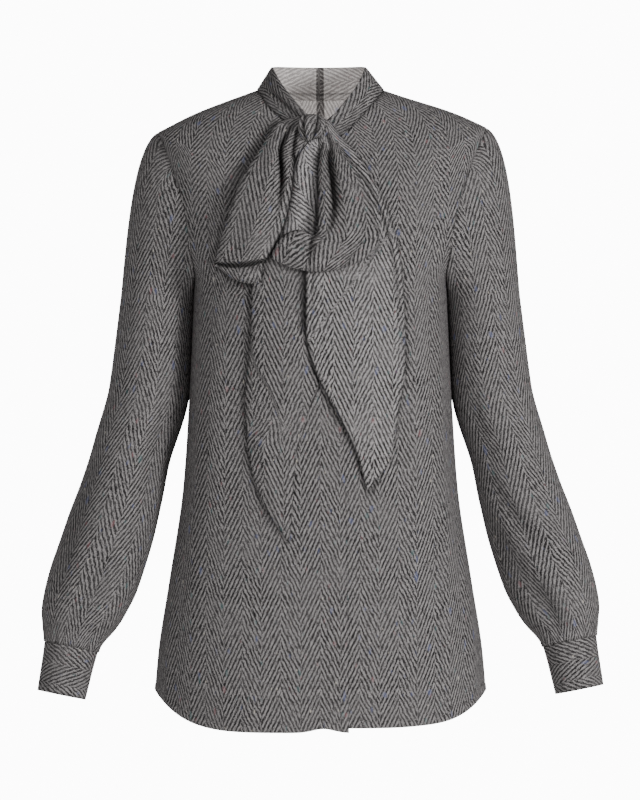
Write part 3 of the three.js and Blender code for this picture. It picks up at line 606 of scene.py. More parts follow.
def armhole_ring(side, turns):
    """The armhole's edge at each turn round it, the way off the body there and the way the body faces,
    with x counted outwards."""
    front = stations((SHOULDER_TIP, 0.84, 20), (0.84, 0.66, 60), (0.66, UNDERARM, 20))
    rows = np.concatenate([front, front[::-1][1:-1]])
    arm = armhole_angle(front)
    angle = np.concatenate([arm, 180 - arm[::-1][1:-1]])
    sign = 1 if side == "left" else -1

    def body(inwards, up=0.0):
        return body_point(sign * (angle + inwards), rows + up) * np.array([sign, 1, 1])

    inward = np.where(angle <= SIDE_SEAM, -4.0, 4.0)
    edge, inner = body(0), body(inward)
    normal = np.cross(inner - body(2 * inward), body(inward, 0.02) - inner)
    normal[[0, len(front) - 1], 1] = 0
    off = unit(np.cross(np.roll(edge, -1, 0) - np.roll(edge, 1, 0), normal))
    off *= np.where((off * (inner - edge)).sum(-1) > 0, -1, 1)[:, None]
    normal = unit(normal)
    normal *= np.where((normal[:, :2] * edge[:, :2]).sum(-1) < 0, -1, 1)[:, None]
    run = lengths_along(np.concatenate([edge, edge[:1]]), 0)
    half = run[len(front) - 1]
    turn = np.where(run <= half, 180 * run / half, 180 + 180 * (run - half) / (run[-1] - half))

    def read(values):
        closed = np.concatenate([values, values[:1]])
        return np.stack([np.interp(turns, turn, closed[:, k]) for k in range(3)], -1)

    return read(edge), unit(read(off)), unit(read(normal))


def sleeve_head(side, turns):
    edge, off, normal = armhole_ring(side, turns)
    ring = edge + off * ARMHOLE_SEAM - normal * 0.12
    # The seam allowance lies inside the body.
    allowance = np.stack([edge - off * 5 - normal * 1.6, edge - normal * 1.6])
    place = np.where(turns <= 180, turns, 360 - turns)
    backward = np.where(turns <= 180, 1, -1)
    away = np.stack([column(HEAD, key, place) for key in "xyz"], -1)
    away[:, 1] *= backward
    leave = unit(away) * column(HEAD, "leave", place)[:, None]
    settle = arm_frame(np.array(0.0))[0] * column(HEAD, "settle", place)[:, None]
    first = sleeve_point(turns, 0.0)
    s = HEAD_ROWS[:, None, None]
    return allowance, bridge(s, ring, leave, first, settle)


def placed(side, points, along):
    """The left sleeve's points, or the right one's: mirrored, longer, and counted the other way round, so
    that its faces point out too."""
    if side == "left":
        return points
    moved = points[:, ::-1] * np.array([-1, 1, 1])
    moved[..., 2] -= RIGHT_SLEEVE_EXTRA * smooth(along, 0.3, 1.0)
    return moved


def ring_cloth(points, since=0):
    """Where each point of a tube lies on its flat cloth, as wide as the widest row after since. Whole
    pairs of stripes close round it."""
    around = np.linspace(0, 1, points.shape[1] + 1)[None, :]
    wide = lengths_along(np.concatenate([points, points[:, :1]], 1), 1)[since:, -1].max()
    pair = 2000 * STRIPE_WIDE
    wide = max(1, round(wide / pair)) * pair
    tall = lengths_along(points, 0)
    tall = np.concatenate([tall, tall[:, :1]], 1)
    return np.stack([around * wide + 0 * tall, tall], -1)


def cap_cloth(cloth, head, settled):
    """The flat cloth of a sleeve's head: its stripes run on up the arm, cut off by the armhole."""
    _, sideways, forward = arm_frame(np.array(0.0))
    spots = head - arm_centre(np.array(0.0))
    wide, deep = SLEEVE[0]["across"], SLEEVE[0]["deep"]
    a, b = spots @ sideways, spots @ forward
    theta = np.linspace(0, np.pi / 2, 91)
    arc = lengths_along(np.stack([wide * np.cos(theta), deep * np.sin(theta)], -1)[None], 1)[0]
    forth = np.minimum(np.abs(b) / deep, 1)
    turns = np.linspace(0, 360, head.shape[1], endpoint=False)
    under = smooth(np.minimum(turns, 360 - turns), 70, 110)
    lean = np.arctan2(np.abs(b) / deep, np.maximum(a / wide, np.sqrt(1 - forth**2)))
    over = np.interp(lean, theta, arc) + np.maximum(-a, 0) * smooth(forth, 0.5, 0.95)
    past = arc[-1] + np.hypot(np.minimum(a, 0), deep * (1 - forth)) - np.maximum(a, 0)
    round_it = over * (1 - under) + past * under
    sign = np.where(turns <= 180, 1, -1)
    shift = (round_it - round_it[-1:]) * sign
    step = np.linalg.norm(np.diff(head, axis=0), axis=-1)
    aside = np.diff(shift, axis=0)
    climb = np.sqrt(np.maximum(step**2 - aside**2, (0.35 * step) ** 2))
    up = np.concatenate([np.cumsum(climb[::-1], axis=0)[::-1], np.zeros((1, head.shape[1]))])
    shift, up = (np.concatenate([v, v[:, :1]], 1) for v in (shift, up))
    cloth = cloth.copy()
    cloth[..., 1] -= cloth[settled, :, 1][None, :]
    cloth[2:2 + len(head), :, 0] += shift
    cloth[2:2 + len(head), :, 1] = -up
    cloth[:2] = cloth[2:3] - np.array([0, 1.0])
    return cloth


for side in ("left", "right"):
    turns = np.linspace(0, 360, SLEEVE_ROUND, endpoint=False)
    rows = SLEEVE_ROWS[:, None]
    allowance, head = sleeve_head(side, turns)
    relief = sleeve_relief(side, turns[None, :], rows)
    arm = placed(side, sleeve_point(turns[None, :], rows, relief), rows)
    points = seam_dip(np.concatenate([placed(side, head, 0.0), arm]), "low")
    points = np.concatenate([placed(side, allowance, 0.0), points])
    settled = len(points) - len(arm)
    # Painted shade in the sleeve's creases, darker the deeper they are; none on its head.
    deep = np.concatenate([np.zeros((settled, SLEEVE_ROUND)), np.clip(-relief * 0.055 - 0.04, 0, 0.35)])
    if side == "right":
        head, deep = head[:, ::-1], deep[:, ::-1]
    cloth = cap_cloth(ring_cloth(points, since=settled), head, settled)
    piece = shell(f"{side}_sleeve", points, cloth, looks, ring=True, shade=deep)
    sewn(
        piece, "cloth", f"sleeve_{side}_upper", f"sleeve_{side}_lower",
        flat=(0.36, 0.6), held="gathered", rests_on=[f"cuff_{side}"], area=0.175,
    )


# Cuffs. A deep straight band of doubled crepe at each wrist, which takes in the sleeve's gathers. It laps
# and is buttoned on the side towards the back.
CUFF_TOP, CUFF_HEM, CUFF_ROUND, CUFF_THICK = 1.003, 1.2, 120, 1.0
rows = stations((CUFF_TOP, CUFF_HEM, 20))[:, None]
turns = np.linspace(0, 360, CUFF_ROUND, endpoint=False)[None, :]
for side in ("left", "right"):
    points = placed(side, sleeve_point(turns, rows), rows)
    cloth = ring_cloth(points)[..., ::-1]
    piece = shell(f"{side}_cuff", points, cloth, [crepe], thick=CUFF_THICK, ring=True)
    sewn(piece, "cloth", f"cuff_{side}", flat=(0.19, 0.055), held="stretched", rests_on=[f"sleeve_{side}"])


# Cuff buttons. One small dark horn button on the back of each cuff, where it laps. It is turned with a
# raised rim and sewn on with two bars of thread.
BUTTON_THICK = 1.4
CUFF_BUTTON = dict(turn=215, along=1.09, radius=5.5)
# Half section of a button, from its face out and round to its back, in shares of radius and thickness.
BUTTON_SECTION = table(
    "radius height",
    (0.4, 0.62), (0.58, 0.7), (0.7, 0.92), (0.8, 1), (0.92, 0.97), (0.985, 0.8), (1, 0.55),
    (0.985, 0.3), (0.92, 0.1), (0.8, 0),
)
BUTTON_FACE = 0.62 * BUTTON_THICK
BUTTON_SIDES = 48
THREAD = dict(reach=1.25, apart=1.0, wide=0.34, thick=0.28, sunk=0.15, arch=0.45, steps=7, sides=12)


def horn():
    look = Look("horn")
    spot = look.node("ShaderNodeTexCoord", None, out=3)
    cloud = look.node("ShaderNodeTexNoise", None, Vector=spot, Scale=260.0, Detail=3.0)
    colour = look.mix(cloud.between(0.35, 0.75), (0.018, 0.015, 0.014, 1), (0.060, 0.046, 0.038, 1))
    return look.finish(Base_Color=colour, Roughness=0.28, Coat_Weight=0.3)


def thread():
    look = Look("thread")
    spot = look.node("ShaderNodeTexCoord", None, out=3)
    twist = look.node("ShaderNodeTexNoise", None, Vector=spot, Scale=2500.0, Detail=1.0)
    colour = look.mix(twist, (0.03, 0.028, 0.028, 1), (0.08, 0.075, 0.075, 1))
    return look.finish(Base_Color=colour, Roughness=0.85)


button_looks = [horn(), thread()]


def button(name, radius, foot, outward):
    """A turned disc with a raised rim and two bars of thread, standing on foot."""
    across = unit(np.cross(outward, [0.0, 0.0, 1.0]))
    up = np.cross(across, outward)
    vertices, faces, looks = [], [], []

    def add(local, made, look):
        start = len(vertices)
        vertices.extend(foot + local[:, :1] * across + local[:, 1:2] * up + local[:, 2:] * outward)
        faces.extend([[start + i for i in face] for face in made])
        looks.extend([look] * len(made))

    turn = np.linspace(0, 2 * np.pi, BUTTON_SIDES, endpoint=False)
    out, high = (np.array([[row[key]] for row in BUTTON_SECTION]) for key in ("radius", "height"))
    out, high = out * radius, high * BUTTON_THICK + 0 * turn
    disc = np.stack([out * np.cos(turn), out * np.sin(turn), high], -1)
    points = np.concatenate([disc.reshape(-1, 3), [[0, 0, BUTTON_FACE], [0, 0, 0]]])
    made = grid_faces(len(out), BUTTON_SIDES, ring=True)[:, [0, 3, 2, 1]].tolist()
    middle, last = len(points) - 2, len(points) - 2 - BUTTON_SIDES
    for j in range(BUTTON_SIDES):
        k = (j + 1) % BUTTON_SIDES
        made += [[middle, j, k], [middle + 1, last + k, last + j]]
    add(points, made, 0)
    sides, steps = THREAD["sides"], THREAD["steps"]
    small = np.linspace(0, 2 * np.pi, sides, endpoint=False)
    run = np.linspace(-THREAD["reach"], THREAD["reach"], steps)[:, None]
    arch = BUTTON_FACE - THREAD["sunk"] + THREAD["arch"] * np.sqrt(1 - (run / THREAD["reach"]) ** 2)
    made = grid_faces(steps, sides, ring=True).tolist()
    made += [list(range(sides))[::-1], [(steps - 1) * sides + j for j in range(sides)]]
    for bar in (-1, 1):
        beside = bar * THREAD["apart"] + THREAD["wide"] * np.cos(small) + 0 * run
        points = np.stack([beside, run + 0 * small, arch + THREAD["thick"] * np.sin(small)], -1)
        add(points.reshape(-1, 3), made, 1)
    mesh = bpy.data.meshes.new(name)
    mesh.from_pydata((np.array(vertices) / 1000).tolist(), [], faces)
    mesh.shade_smooth()
    for look in button_looks:
        mesh.materials.append(look)
    mesh.polygons.foreach_set("material_index", looks)
    piece = bpy.data.objects.new(name, mesh)
    bpy.context.scene.collection.objects.link(piece)
    return piece


turn = np.array([[CUFF_BUTTON["turn"]]]) + np.array([[0], [8], [-8], [0]])
along = CUFF_BUTTON["along"] + np.array([[0], [0], [0], [0.05]])
for side in ("left", "right"):
    foot, before, after, below = placed(side, sleeve_point(turn, along), along)[:, 0]
    middle = placed(side, arm_centre(along[:1]), along[:1])[0, 0]
    outward = unit(np.cross(before - after, below - foot))
    outward = outward * np.sign(np.dot(outward, foot - middle))
    piece = button(f"{side}_cuff_button", CUFF_BUTTON["radius"], foot + outward * 0.3, outward)
    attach(piece, "root")
    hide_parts(f"cuff_button_{side}")


# Fly buttons. Seven of the same horn buttons down centre front, sewn to the left front and hidden between
# the two fronts, so their plain solids stay and only take the horn.
FLY_BUTTONS = 7
for number in range(1, FLY_BUTTONS + 1):
    solid = bpy.data.objects[f"fly_button_{number}"]
    for place in solid.material_slots:
        place.material = button_looks[0]


# Neckband. A standing band of doubled cloth that leans in to the neck, with a seam at centre back, and
# carries on into the tie. Its foot lies inside the neckline it is sewn to.
NECKBAND = table(
    "at rise lean",
    (0, 27, 2), (25, 31, 6), (50, 31, 10), (90, 25, 16), (135, 28, 10), (180, 30, 5),
)
NECKBAND_LEFT_LEAN = 4
NECKBAND_LIFT = 0.5
BAND_TALL = 28
NECKBAND_ENDS = (3, 353)
TIE_THICK = 1.2
# Troughs and ridges of the band, each from an angle and a share of its height to another.
BAND_FOLDS = table(
    "angle0 share0 angle1 share1 wide out",
    (292, 0.22, 350, 0.6, 3.6, -4.2),
    (296, -0.05, 350, 0.3, 4, 3.4),
    (12, 0.45, 52, 0.75, 5, 1.6),
    (8, 0.15, 46, 0.3, 4, -1.4),
)
angles = np.linspace(*NECKBAND_ENDS, 240)[None, :]
share = np.linspace(0, 1, 30)[:, None]
place = np.minimum(angles, 360 - angles)
foot = body_point(angles, NECKLINE)
inward = unit(foot * np.array([-1, -1, 0]))
more = np.maximum(0, np.sin(np.radians(angles))) * NECKBAND_LEFT_LEAN
lean = (column(NECKBAND, "lean", place) + more) * share
rise = NECKBAND_LIFT + column(NECKBAND, "rise", place) * share
points = foot + inward * lean[..., None]
points[..., 2] += rise
relief = 0.0
for fold in BAND_FOLDS:
    run = np.clip((angles - fold["angle0"]) / (fold["angle1"] - fold["angle0"]), 0, 1)
    line = fold["share0"] + (fold["share1"] - fold["share0"]) * run
    relief += fold["out"] * bell((share - line) * BAND_TALL, fold["wide"]) * np.sin(np.pi * run) ** 0.7
relief -= 0.8 * bell((1 - share) * BAND_TALL, 1.6)
points -= inward * relief[..., None]
allowance = points[:1] + inward * 2.0 - np.array([0, 0, 7.0])
points = np.concatenate([allowance, allowance * 0.5 + (points[:1] + inward * 2.0) * 0.5, points])
run, tall = lengths_along(points, 1), lengths_along(points, 0)
centre_back = np.argmin(np.abs(angles[0] - 180))
# The two halves of the band were cut apart, so their stripes don't meet at the seam.
shift = np.where(np.arange(tall.shape[1]) > centre_back, -9.0, 6.5)
cloth = np.stack([tall - tall[2] + shift, run - run[:, centre_back:centre_back + 1]], -1)
band_seam = dict(crosses="along", wide=0.0045, above=-1.0, dark=0.9)
band_inside = herringbone("band_inside", INSIDE_DARK, INSIDE_LIGHT, seam=band_seam, painted_glow=0.24)
# Painted shade: darker in the band's troughs and over its half on the wearer's right, with a dark line
# painted along its foot at the seam.
deep = np.concatenate([np.zeros((2, relief.shape[1])), np.clip(-relief * 0.13, 0, 0.7)])
deep[2:4] = 0.4
deep = np.maximum(deep, 0.28 * smooth(angles, 280, 296))
piece = shell("band", points, cloth, [crepe, band_inside], thick=TIE_THICK, shade=deep)
sewn(piece, "tie_cloth", "neckband", flat=(0.042, 0.42), held="stretched", rests_on=["back"])


# Tie. The neckband's ends run on into it: doubled cloth, tied in a soft bow whose loops hang down.
# First the left tail, which lies on the chest under the loops and ends in a point. The rows of a band's
# table give its two edges as they are seen from the front, how far it stands out from the chest, how much
# more it does along its middle (crown), and how far its middle sags.
TIE_WIDE = 52  # narrower than this, the cloth's lines are drawn together
EDGE_ROLL = dict(wide=3.2, back=1.6)
TAIL_LEFT = table(
    "at x0 z0 x1 z1 out crown sag",
    (-1, -4, -46, 10, -33, 11, 4),
    (0, -4, -60, 20, -48, 8, 6),
    (1, 0, -82, 41, -72, 5.6, 4),
    (2, 2, -102, 55, -96, 5.6),
    (3, -10, -150, 77, -144, 7),
    (4, -16, -202, 89, -201, 8),
    (5, -16, -262, 92, -262, 8.2, 2.5),
    (6, -6, -306, 92.5, -306, 7.8, 3),
    (7, 7, -333, 88, -333, 6.8, 3),
    (8, 22, -361, 84, -361, 6, 2),
    (9, 40, -399, 78, -399, 5.3, 1),
    (10, 50, -437, 53, -435, 5.1),
)
# Each fold is a line down the band: share is its place between the two edges, out how far it stands out
# (a trough where negative), wide half its width in millimetres. A step stays out on its far side.
TAIL_LEFT_FOLDS = lines(
    "wide", "at share out",
    (2.6, (0.6, 0.72), (1.6, 0.8, -2), (3, 0.9, -4), (4.2, 0.93, -4.4), (5.2, 0.965, -2.5),
     (6, 0.98)),
    (2.2, (-0.9, 0.5, -3), (0.2, 0.52, -5.5), (1, 0.62, -5), (1.7, 0.7, -2), (2.2, 0.74)),
    (3.2, (-0.9, 0.74, 1.5), (0.2, 0.76, 2.6), (1, 0.82, 2.4), (2, 0.86, 1), (2.8, 0.9)),
    (3, (1.4, 0.42), (2, 0.62, -1.8), (2.8, 0.7, -1.2), (3.6, 0.74)),
    (2.2, (3.2, 0.05), (3.9, 0.065, -2.6), (4.7, 0.055, -2.2), (5.2, 0.05)),
    (9, (4.4, 0.45), (5.4, 0.5, 2.4), (7, 0.55, 2.8), (8.4, 0.6, 1.4), (9.4, 0.6)),
)


def chest_y(x, z):
    """Depth of the body's front face at places seen from the front, for what lies on the chest."""
    low, high = np.zeros(x.shape), np.full(x.shape, NECKLINE)
    for _ in range(24):
        middle = (low + high) / 2
        below = body_point(angle_at(x, middle), middle)[..., 2] < z
        low, high = np.where(below, middle, low), np.where(below, high, middle)
    return body_point(angle_at(x, low), low)[..., 1]


def fold_relief(folds, place, share, width):
    total = 0.0
    for fold in folds:
        away, wide = (share - column(fold["line"], "share", place)) * width, fold["wide"]
        shape = smooth(away, -wide, wide) if "step" in fold else bell(away, wide)
        total += column(fold["line"], "out", place) * shape
    return total


def tie_band(rows, folds, steps=200, across=72, least_out=1.3, edge_shade=(0.25, 0.25)):
    """Points of a band of the tie, its flat cloth, where each point is in the table, and the painted shade
    of its folds and edges. edge_shade is how dark the shade painted along its two edges is."""
    place = np.linspace(rows[0]["at"], rows[-1]["at"], steps)[:, None]
    share = np.linspace(0, 1, across)[None, :]
    arch = 4 * share * (1 - share)
    read = {key: column(rows, key, place) for key in rows[0]}
    x = read["x0"] * (1 - share) + read["x1"] * share
    z = read["z0"] * (1 - share) + read["z1"] * share + read["sag"] * arch
    width = np.hypot(read["x1"] - read["x0"], read["z1"] - read["z0"])
    relief = fold_relief(folds, place, share, width)
    # Painted shade: darker in the folds' troughs and along both edges, as dark as edge_shade gives.
    deep = np.clip(-relief * 0.085, 0, 0.85) ** 1.3
    for away, dark in zip((share * width, (1 - share) * width), edge_shade):
        deep = np.maximum(deep, dark * bell(away, 1.8))
    edge = np.minimum(share, 1 - share) * width
    relief = relief - EDGE_ROLL["back"] * bell(edge, EDGE_ROLL["wide"])
    out = np.maximum(read["out"] + read["crown"] * arch + relief, least_out)
    points = np.stack([x, chest_y(x, z) - out, z], -1)
    run = lengths_along(points[:, across // 2], 0)[:, None]
    cloth = np.stack([(share - 0.5) * np.maximum(width, TIE_WIDE), run + 0 * share], -1)
    return points, cloth, place, share, deep


# The tie's inside is printed lighter than its outside and gives off a little light: painted light on its
# inner faces.
tie_inside = herringbone("tie_inside", (0.03, 0.028, 0.029, 1), (0.42, 0.40, 0.40, 1), painted_glow=0.12)


def straight_cloth(cloth, points, middle, top):
    """The cloth of a tail below its top: its stripes run straight down and its edges cut them off."""
    row = np.argmin(np.abs(points[:, 0, 2] - top))
    below = np.stack([points[..., 0] - middle, cloth[row, 0, 1] - points[..., 2] + top], -1)
    share = smooth(points[..., 2], top - 25, top + 25)[..., None]
    return below * (1 - share) + cloth * share


def band_piece(name, points, cloth, deep, node, flat, outside=crepe, **cut):
    looks = [outside, tie_inside]
    piece = shell(name, points[:, ::-1], cloth[:, ::-1], looks, thick=TIE_THICK, shade=deep[:, ::-1])
    rests_on = ["right_front", "left_front"]
    sewn(piece, "tie_cloth", node, flat=flat, held="hung", rests_on=rests_on, **cut)


points, cloth, place, share, deep = tie_band(TAIL_LEFT, TAIL_LEFT_FOLDS, edge_shade=(0.75, 0.5))
cloth = straight_cloth(cloth, points, 36, -150)
# The pattern breaks along a slanting line, where the tail was twisted and lies flat again.
BREAK = dict(x0=54, z0=-186, x1=-3, z1=-262, shift=11)
slant = (BREAK["z1"] - BREAK["z0"]) / (BREAK["x1"] - BREAK["x0"])
above = points[..., 2] - (BREAK["z0"] + slant * (points[..., 0] - BREAK["x0"]))
cloth[..., 0] += BREAK["shift"] * smooth(above, -1.5, 1.5)
# Painted light: the left tail's crepe is printed lighter than the rest, for the light that falls on it.
lit_tail_crepe = herringbone("lit_tail_crepe", DARK, (0.362, 0.344, 0.342, 1))
band_piece("left_tail", points, cloth, deep, "tie_tail_left", (0.085, 0.4), area=0.030, outside=lit_tail_crepe)


# Right tail. The longer end of the same doubled cloth, partly under the left one. A slanting fold runs
# across it, below which it lies a little lower.
TAIL_RIGHT = table(
    "at x0 z0 x1 z1 out crown sag",
    (-1, -26, -36, -10, -44, 5, 1),
    (0, -34, -52, -14, -58, 3.1),
    (1, -60, -112, -10, -112, 3.1),
    (2, -73, -165, -8, -165, 3.1),
    (3, -75, -201, -10, -201, 3.3, 0.5),
    (4, -75.5, -256, -10, -256, 3.8, 1),
    (5, -80, -311, -1, -311, 4.2, 1),
    (6, -82.5, -339, -9.5, -339, 4.2, 1),
    (7, -81, -372, -19, -372, 4, 1),
    (8, -77.5, -405, -27, -405, 3.8, 1),
    (9, -64, -449, -30, -449, 3.4, 0.5),
    (10, -37, -491, -33, -489, 3.1),
)
TAIL_STEP = lines(
    "wide step", "at share out",
    (1.4, True, (3.9, -0.08, 2.2), (4.6, 0.06, 2.4), (5.4, 0.3, 2.4), (6.2, 0.48, 1.6), (7, 0.62, 0.6),
     (7.6, 0.68)),
)
TAIL_RIGHT_FOLDS = lines(
    "wide", "at share out",
    (7, (4, 0.9), (5, 0.86, -2.2), (6.4, 0.8, -2), (7.6, 0.74)),
    (6, (6.6, 0.3), (7.6, 0.32, 1.6), (8.8, 0.4, 1.8), (9.6, 0.5)),
    (9, (2.4, 1), (3.2, 1, -2), (5, 1, -2.6), (6.2, 1, -1.4), (7, 1)),
)
# Where the left tail lies over it: painted shade beside the left tail's edge.
UNDER_TAIL = lines(
    "wide dark", "x z",
    (5, 0.85, (-18, -195), (-18, -262)),
    (3.2, 0.7, (-18, -262), (-7, -308), (8, -336)),
)
folds = TAIL_STEP + TAIL_RIGHT_FOLDS
points, cloth, place, share, deep = tie_band(TAIL_RIGHT, folds, edge_shade=(0.55, 0.2))
cloth = straight_cloth(cloth, points, -40, -150)
deep = np.maximum(deep, shade_near(points, UNDER_TAIL))
# The pattern is out of step on the two sides of the fold.
line = column(TAIL_STEP[0]["line"], "share", place)
under = (1 - smooth((share - line) * 75, -1.2, 1.2)) * (1 - smooth(place, 6.6, 7.6))
cloth[..., 0] -= 9 * under
band_piece("right_tail", points, cloth, deep, "tie_tail_right", (0.085, 0.47), area=0.031)


# Left loop. The doubled cloth hangs from the knot, turns up at the bottom in a thick soft roll and goes
# back up behind. Its inner face shows beside a deep valley.
LOOP_LEFT = table(
    "at x0 z0 x1 z1 out crown sag",
    (-1, -6, -44, 9, -42, 11, 2),
    (0, 3, -55, 14, -50.2, 14, 1),
    (0.5, -1, -71, 24, -66, 16, 3),
    (1, -3, -88, 34, -82, 18, 5),
    (2, -3, -122, 52, -116, 22, 7),
    (3, -4, -156, 62, -150, 25, 7),
    (3.5, -10, -160, 63.5, -161, 25, 6, -4),
    (4, -24, -154, 64, -169, 24, 4, -12),
    (4.6, -40, -160, 62.5, -174, 21.5, 3, -19),
    (5.2, -50, -171, 60, -178, 18.5, 2, -21),
    (6, -55, -184, 56, -180, 13.5, 0, -18),
    (7, -52, -186, 52, -176, 9.5, 0, -12),
    (8, -50, -169, 48, -162, 7.3),
    (9, -40, -142, 42, -138, 7.3),
    (10, -32, -98, 28, -96, 7.3),
    (11, -20, -60, 12, -58, 7.3),
    (12, -16, -44, 8, -42, 8),
)
LOOP_LEFT_FOLDS = lines(
    "wide", "at share out",
    (4, (-0.5, 0.5, -3), (0.2, 0.46, -6.5), (0.9, 0.39, -11), (1.65, 0.34, -12), (2.1, 0.32, -10),
     (2.7, 0.23, -5), (3.3, 0.12)),
    (8, (0.2, 0.74), (1, 0.68, 2.5), (2, 0.6, 3.5), (3, 0.54, 2), (4, 0.5)),
    (2.4, (-0.8, 0.8, -2.4), (0.6, 0.78, -3), (1.4, 0.84, -1.4), (2, 0.88)),
    (10, (1.8, 0.84), (2.8, 0.82, -2.4), (3.8, 0.78, -1.8), (4.6, 0.74)),
    (4, (3.4, 0.64), (4.4, 0.68, -2.4), (5.2, 0.7, -4), (6, 0.7, -2), (6.6, 0.7)),
    (6, (3.2, 0.3), (4.2, 0.34, 2.2), (5.2, 0.4, 2.4), (6, 0.42)),
    (2.6, (3, 0), (3.4, 0.04, -6), (4, 0.17, -7), (4.6, 0.27, -5), (5.4, 0.33)),
    (3, (8.4, 0.16), (9, 0.17, 1.6), (9.8, 0.2)),
)
# Painted shade on the inner face beside the edges that hang in front of it.
INNER_SHADE = lines(
    "wide dark", "x z",
    (4.2, 0.92, (-27, -52), (-31, -106), (-36, -132), (-41, -151), (-51, -169), (-59, -185)),
    (3.4, 0.85, (4, -59), (-2, -75), (-3, -117), (-5, -144), (-6, -160), (-13, -178)),
)
points, cloth, place, share, deep = tie_band(LOOP_LEFT, LOOP_LEFT_FOLDS, steps=280, edge_shade=(0.9, 0.45))
deep = np.maximum(deep, shade_near(points, INNER_SHADE) * smooth(place, 7.4, 7.9))
# The cloth twists where it turns up, so that its lines slant on the inner face.
TWIST = math.radians(-26)
low_row = np.argmin(np.abs(place[:, 0] - 6.4))
about = cloth - np.array([0, cloth[low_row, 0, 1]])
turn = TWIST * smooth(place, 4.6, 8.6)
cloth = np.stack([
    about[..., 0] * np.cos(turn) - about[..., 1] * np.sin(turn),
    about[..., 0] * np.sin(turn) + about[..., 1] * np.cos(turn),
], -1)
band_piece("left_loop", points, cloth, deep, "tie_loop_left", (0.085, 0.32))


# Right loop. The doubled cloth falls from the knot as one broad fold with a deep crease. Its lower edge is
# turned up and goes back up behind.
LOOP_RIGHT = table(
    "at x0 z0 x1 z1 out crown sag",
    (-1, -24, -29, -4, -43, 11, 1),
    (0, -45, -36, -9, -53, 13, 2),
    (0.5, -56, -50, -19, -66, 15, 3.5),
    (1, -66, -66, -28, -79, 17, 5),
    (2, -88, -104, -30, -108, 21, 7),
    (3, -102, -143, -37, -143, 23, 7),
    (4, -112, -177, -51.5, -174, 22, 6),
    (4.75, -115, -188, -57, -184, 20.5, 4, -2),
    (5, -115.5, -190.5, -58.5, -187, 12, 1, -4),
    (5.2, -115, -191.5, -61, -190, 16, 2, -5),
    (5.6, -114, -192, -62.5, -200, 18, 3, -7),
    (6, -113, -193, -63, -208, 16, 2, -8),
    (6.5, -112, -194, -63, -211, 12, 1, -8),
    (7, -110, -194, -63, -209, 8, 0, -7.5),
    (8, -109, -190, -61, -200, 5, 0, -6),
    (9, -106, -176, -53, -178, 4.3),
    (10, -88, -130, -34, -132, 4.3),
    (11, -46, -56, -22, -62, 4.3),
)
LOOP_RIGHT_FOLDS = lines(
    "wide", "at share out",
    (2.6, (-0.4, 0.3, -3), (0.25, 0.37, -8), (0.6, 0.44, -11), (1, 0.59, -13), (1.4, 0.71, -13),
     (1.9, 0.78, -10), (2.4, 0.8, -5), (2.9, 0.82)),
    (2.2, (-0.6, 0.5, -2.5), (0.15, 0.6, -7), (0.75, 0.85, -8), (1, 0.96, -5), (1.4, 1)),
    (6, (0.2, 0.16), (0.9, 0.32, 2.6), (1.8, 0.52, 3), (2.6, 0.6, 1.4), (3.4, 0.6)),
    (3.6, (0.6, 0.7), (1.2, 0.84, 2.6), (2, 0.9, 2.2), (3, 0.92)),
    (2, (-0.8, 0.14, -2), (0.1, 0.16, -3), (0.7, 0.18)),
    (10, (2.2, 0.3), (3.2, 0.32, -2.4), (4.2, 0.36, -2), (4.8, 0.38)),
)
shades = (0.3, 0.95)
points, cloth, place, share, deep = tie_band(LOOP_RIGHT, LOOP_RIGHT_FOLDS, steps=300, edge_shade=shades)
# Painted shade along the crease where the lower edge turns up.
deep = np.maximum(deep, 0.8 * bell(place - 5.02, 0.16))
band_piece("right_loop", points, cloth, deep, "tie_loop_right", (0.08, 0.3))


# Knot. The tie's doubled cloth wrapped once round itself and drawn tight in uneven pleats, in front of the
# neckband's opening.
KNOT = dict(x=-8, y=-76.4, z=-40.5, half_width=16.5, half_depth=12.4, half_height=13.2)
# Pleats of the knot: turn is the place round it, 180 at the wearer's right and 270 in front, lean how far
# it runs round over half its height, wide its half width in degrees.
KNOT_PLEATS = table(
    "turn lean wide out",
    (196, -24, 7, -2.6), (213, -10, 8, 1), (231, -5, 6.5, -4.6), (253, 6, 13, 2.2), (262, 12, 3.4, -1.2),
    (284, 22, 6.5, -4.8), (308, 14, 10, 1.4), (326, 20, 6, -3.2), (346, 12, 9, 1), (40, 10, 14, -1.2),
    (120, -12, 14, -1.2),
)
KNOT_AROUND, KNOT_TALL, KNOT_CLOTH = 160, 72, 52
turn = np.linspace(0, 360, KNOT_AROUND, endpoint=False)[None, :]
rise = np.linspace(89, -89, KNOT_TALL)[:, None]
relief = 0.0
for pleat in KNOT_PLEATS:
    away = (turn - pleat["turn"] - pleat["lean"] * rise / 90 + 180) % 360 - 180
    relief += pleat["out"] * bell(away, pleat["wide"])
c, s = np.cos(np.radians(turn)), np.sin(np.radians(turn))
flat = np.abs(np.cos(np.radians(rise))) ** 0.5
grow = 1 + relief * flat / KNOT["half_depth"]
points = np.stack([
    KNOT["x"] + KNOT["half_width"] * flat * power(c, 0.85) * grow,
    KNOT["y"] + KNOT["half_depth"] * flat * power(s, 0.85) * grow,
    KNOT["z"] + KNOT["half_height"] * power(np.sin(np.radians(rise)), 0.9) + 0 * c,
], -1)
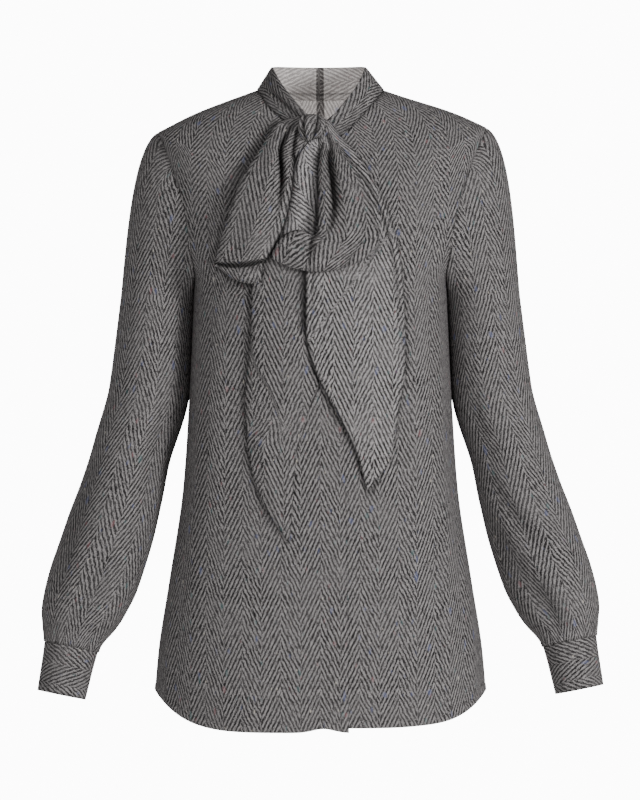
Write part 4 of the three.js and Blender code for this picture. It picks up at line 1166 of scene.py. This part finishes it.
# It is drawn down to a point at its left, and slopes down towards its right where the loop leaves it.
lower = smooth(-rise, 0, 80) * 4.5 * bell(points[..., 0] + 15, 6.5)
slope = smooth(rise, -30, 60) * 3.0 * smooth(points[..., 0], -8, 8)
points[..., 2] -= lower + slope
cloth = ring_cloth(points)
cloth[..., 1] = np.linspace(0, KNOT_CLOTH, KNOT_TALL)[:, None]
# Painted shade: darker in the troughs of the pleats and towards the top and bottom, where the knot is
# drawn in.
deep = np.clip(-relief * 0.17, 0, 0.85)
deep = np.maximum(deep, 0.6 * smooth(np.abs(rise), 62, 88))
points, cloth, deep = (grid[:, ::-1] for grid in (points, cloth, deep))
piece = shell("knot", points, cloth, [crepe], thick=TIE_THICK, ring=True, shade=deep)
sewn(piece, "tie_cloth", "tie_knot", flat=(0.04, 0.08), held="folded", rests_on=["band"], area=0.0029)


# Floor, light and camera. A pale floor far below keeps the photo's plain ground; the world is white to the
# camera and lights the cloth softly; a large lamp at the right gives the left half its darker tone.
bpy.ops.mesh.primitive_plane_add(size=21, location=(0, 0, -1.45))
floor = bpy.context.object
floor.name = "floor"
paint = Look("floor_paint").finish(Base_Color=(0.9, 0.9, 0.9, 1), Roughness=0.9)
floor.data.materials.append(paint)

world = bpy.data.worlds.new("studio")
bpy.context.scene.world = world
world.use_nodes = True
sky = world.node_tree
lit = sky.nodes.new("ShaderNodeBackground")
ray, blend = sky.nodes.new("ShaderNodeLightPath"), sky.nodes.new("ShaderNodeMixShader")
sky.links.new(ray.outputs["Is Camera Ray"], blend.inputs[0])
for place, ground, strength in ((1, lit, 0.36), (2, sky.nodes["Background"], 12.0)):
    ground.inputs["Color"].default_value = (1, 1, 1, 1)
    ground.inputs["Strength"].default_value = strength
    sky.links.new(ground.outputs[0], blend.inputs[place])
sky.links.new(blend.outputs[0], sky.nodes["World Output"].inputs["Surface"])


def lamp(name, place, aim, size, watts):
    light = bpy.data.lights.new(name, "AREA")
    light.shape, light.size, light.energy = "SQUARE", size, watts
    obj = bpy.data.objects.new(name, light)
    obj.location = place
    obj.rotation_euler = (Vector(aim) - Vector(place)).to_track_quat("-Z", "Y").to_euler()
    bpy.context.scene.collection.objects.link(obj)


lamp("key", (2.3, -2.5, 0.3), (0, 0, -0.42), 0.8, 100)
lamp("fill", (-1.3, -2.8, 0.0), (0, 0, -0.45), 1.6, 29)

DISTANCE = 8.0
AXIS_HEIGHT = -0.3388
camera = bpy.data.cameras.new("camera")
camera.sensor_fit = "VERTICAL"
camera.sensor_height = 36
camera.lens = 36 * DISTANCE / 0.88
view = bpy.data.objects.new("camera", camera)
view.location = (-0.0005, -DISTANCE, AXIS_HEIGHT)
view.rotation_euler = (math.pi / 2, 0, 0)
bpy.context.scene.collection.objects.link(view)
bpy.context.scene.camera = view
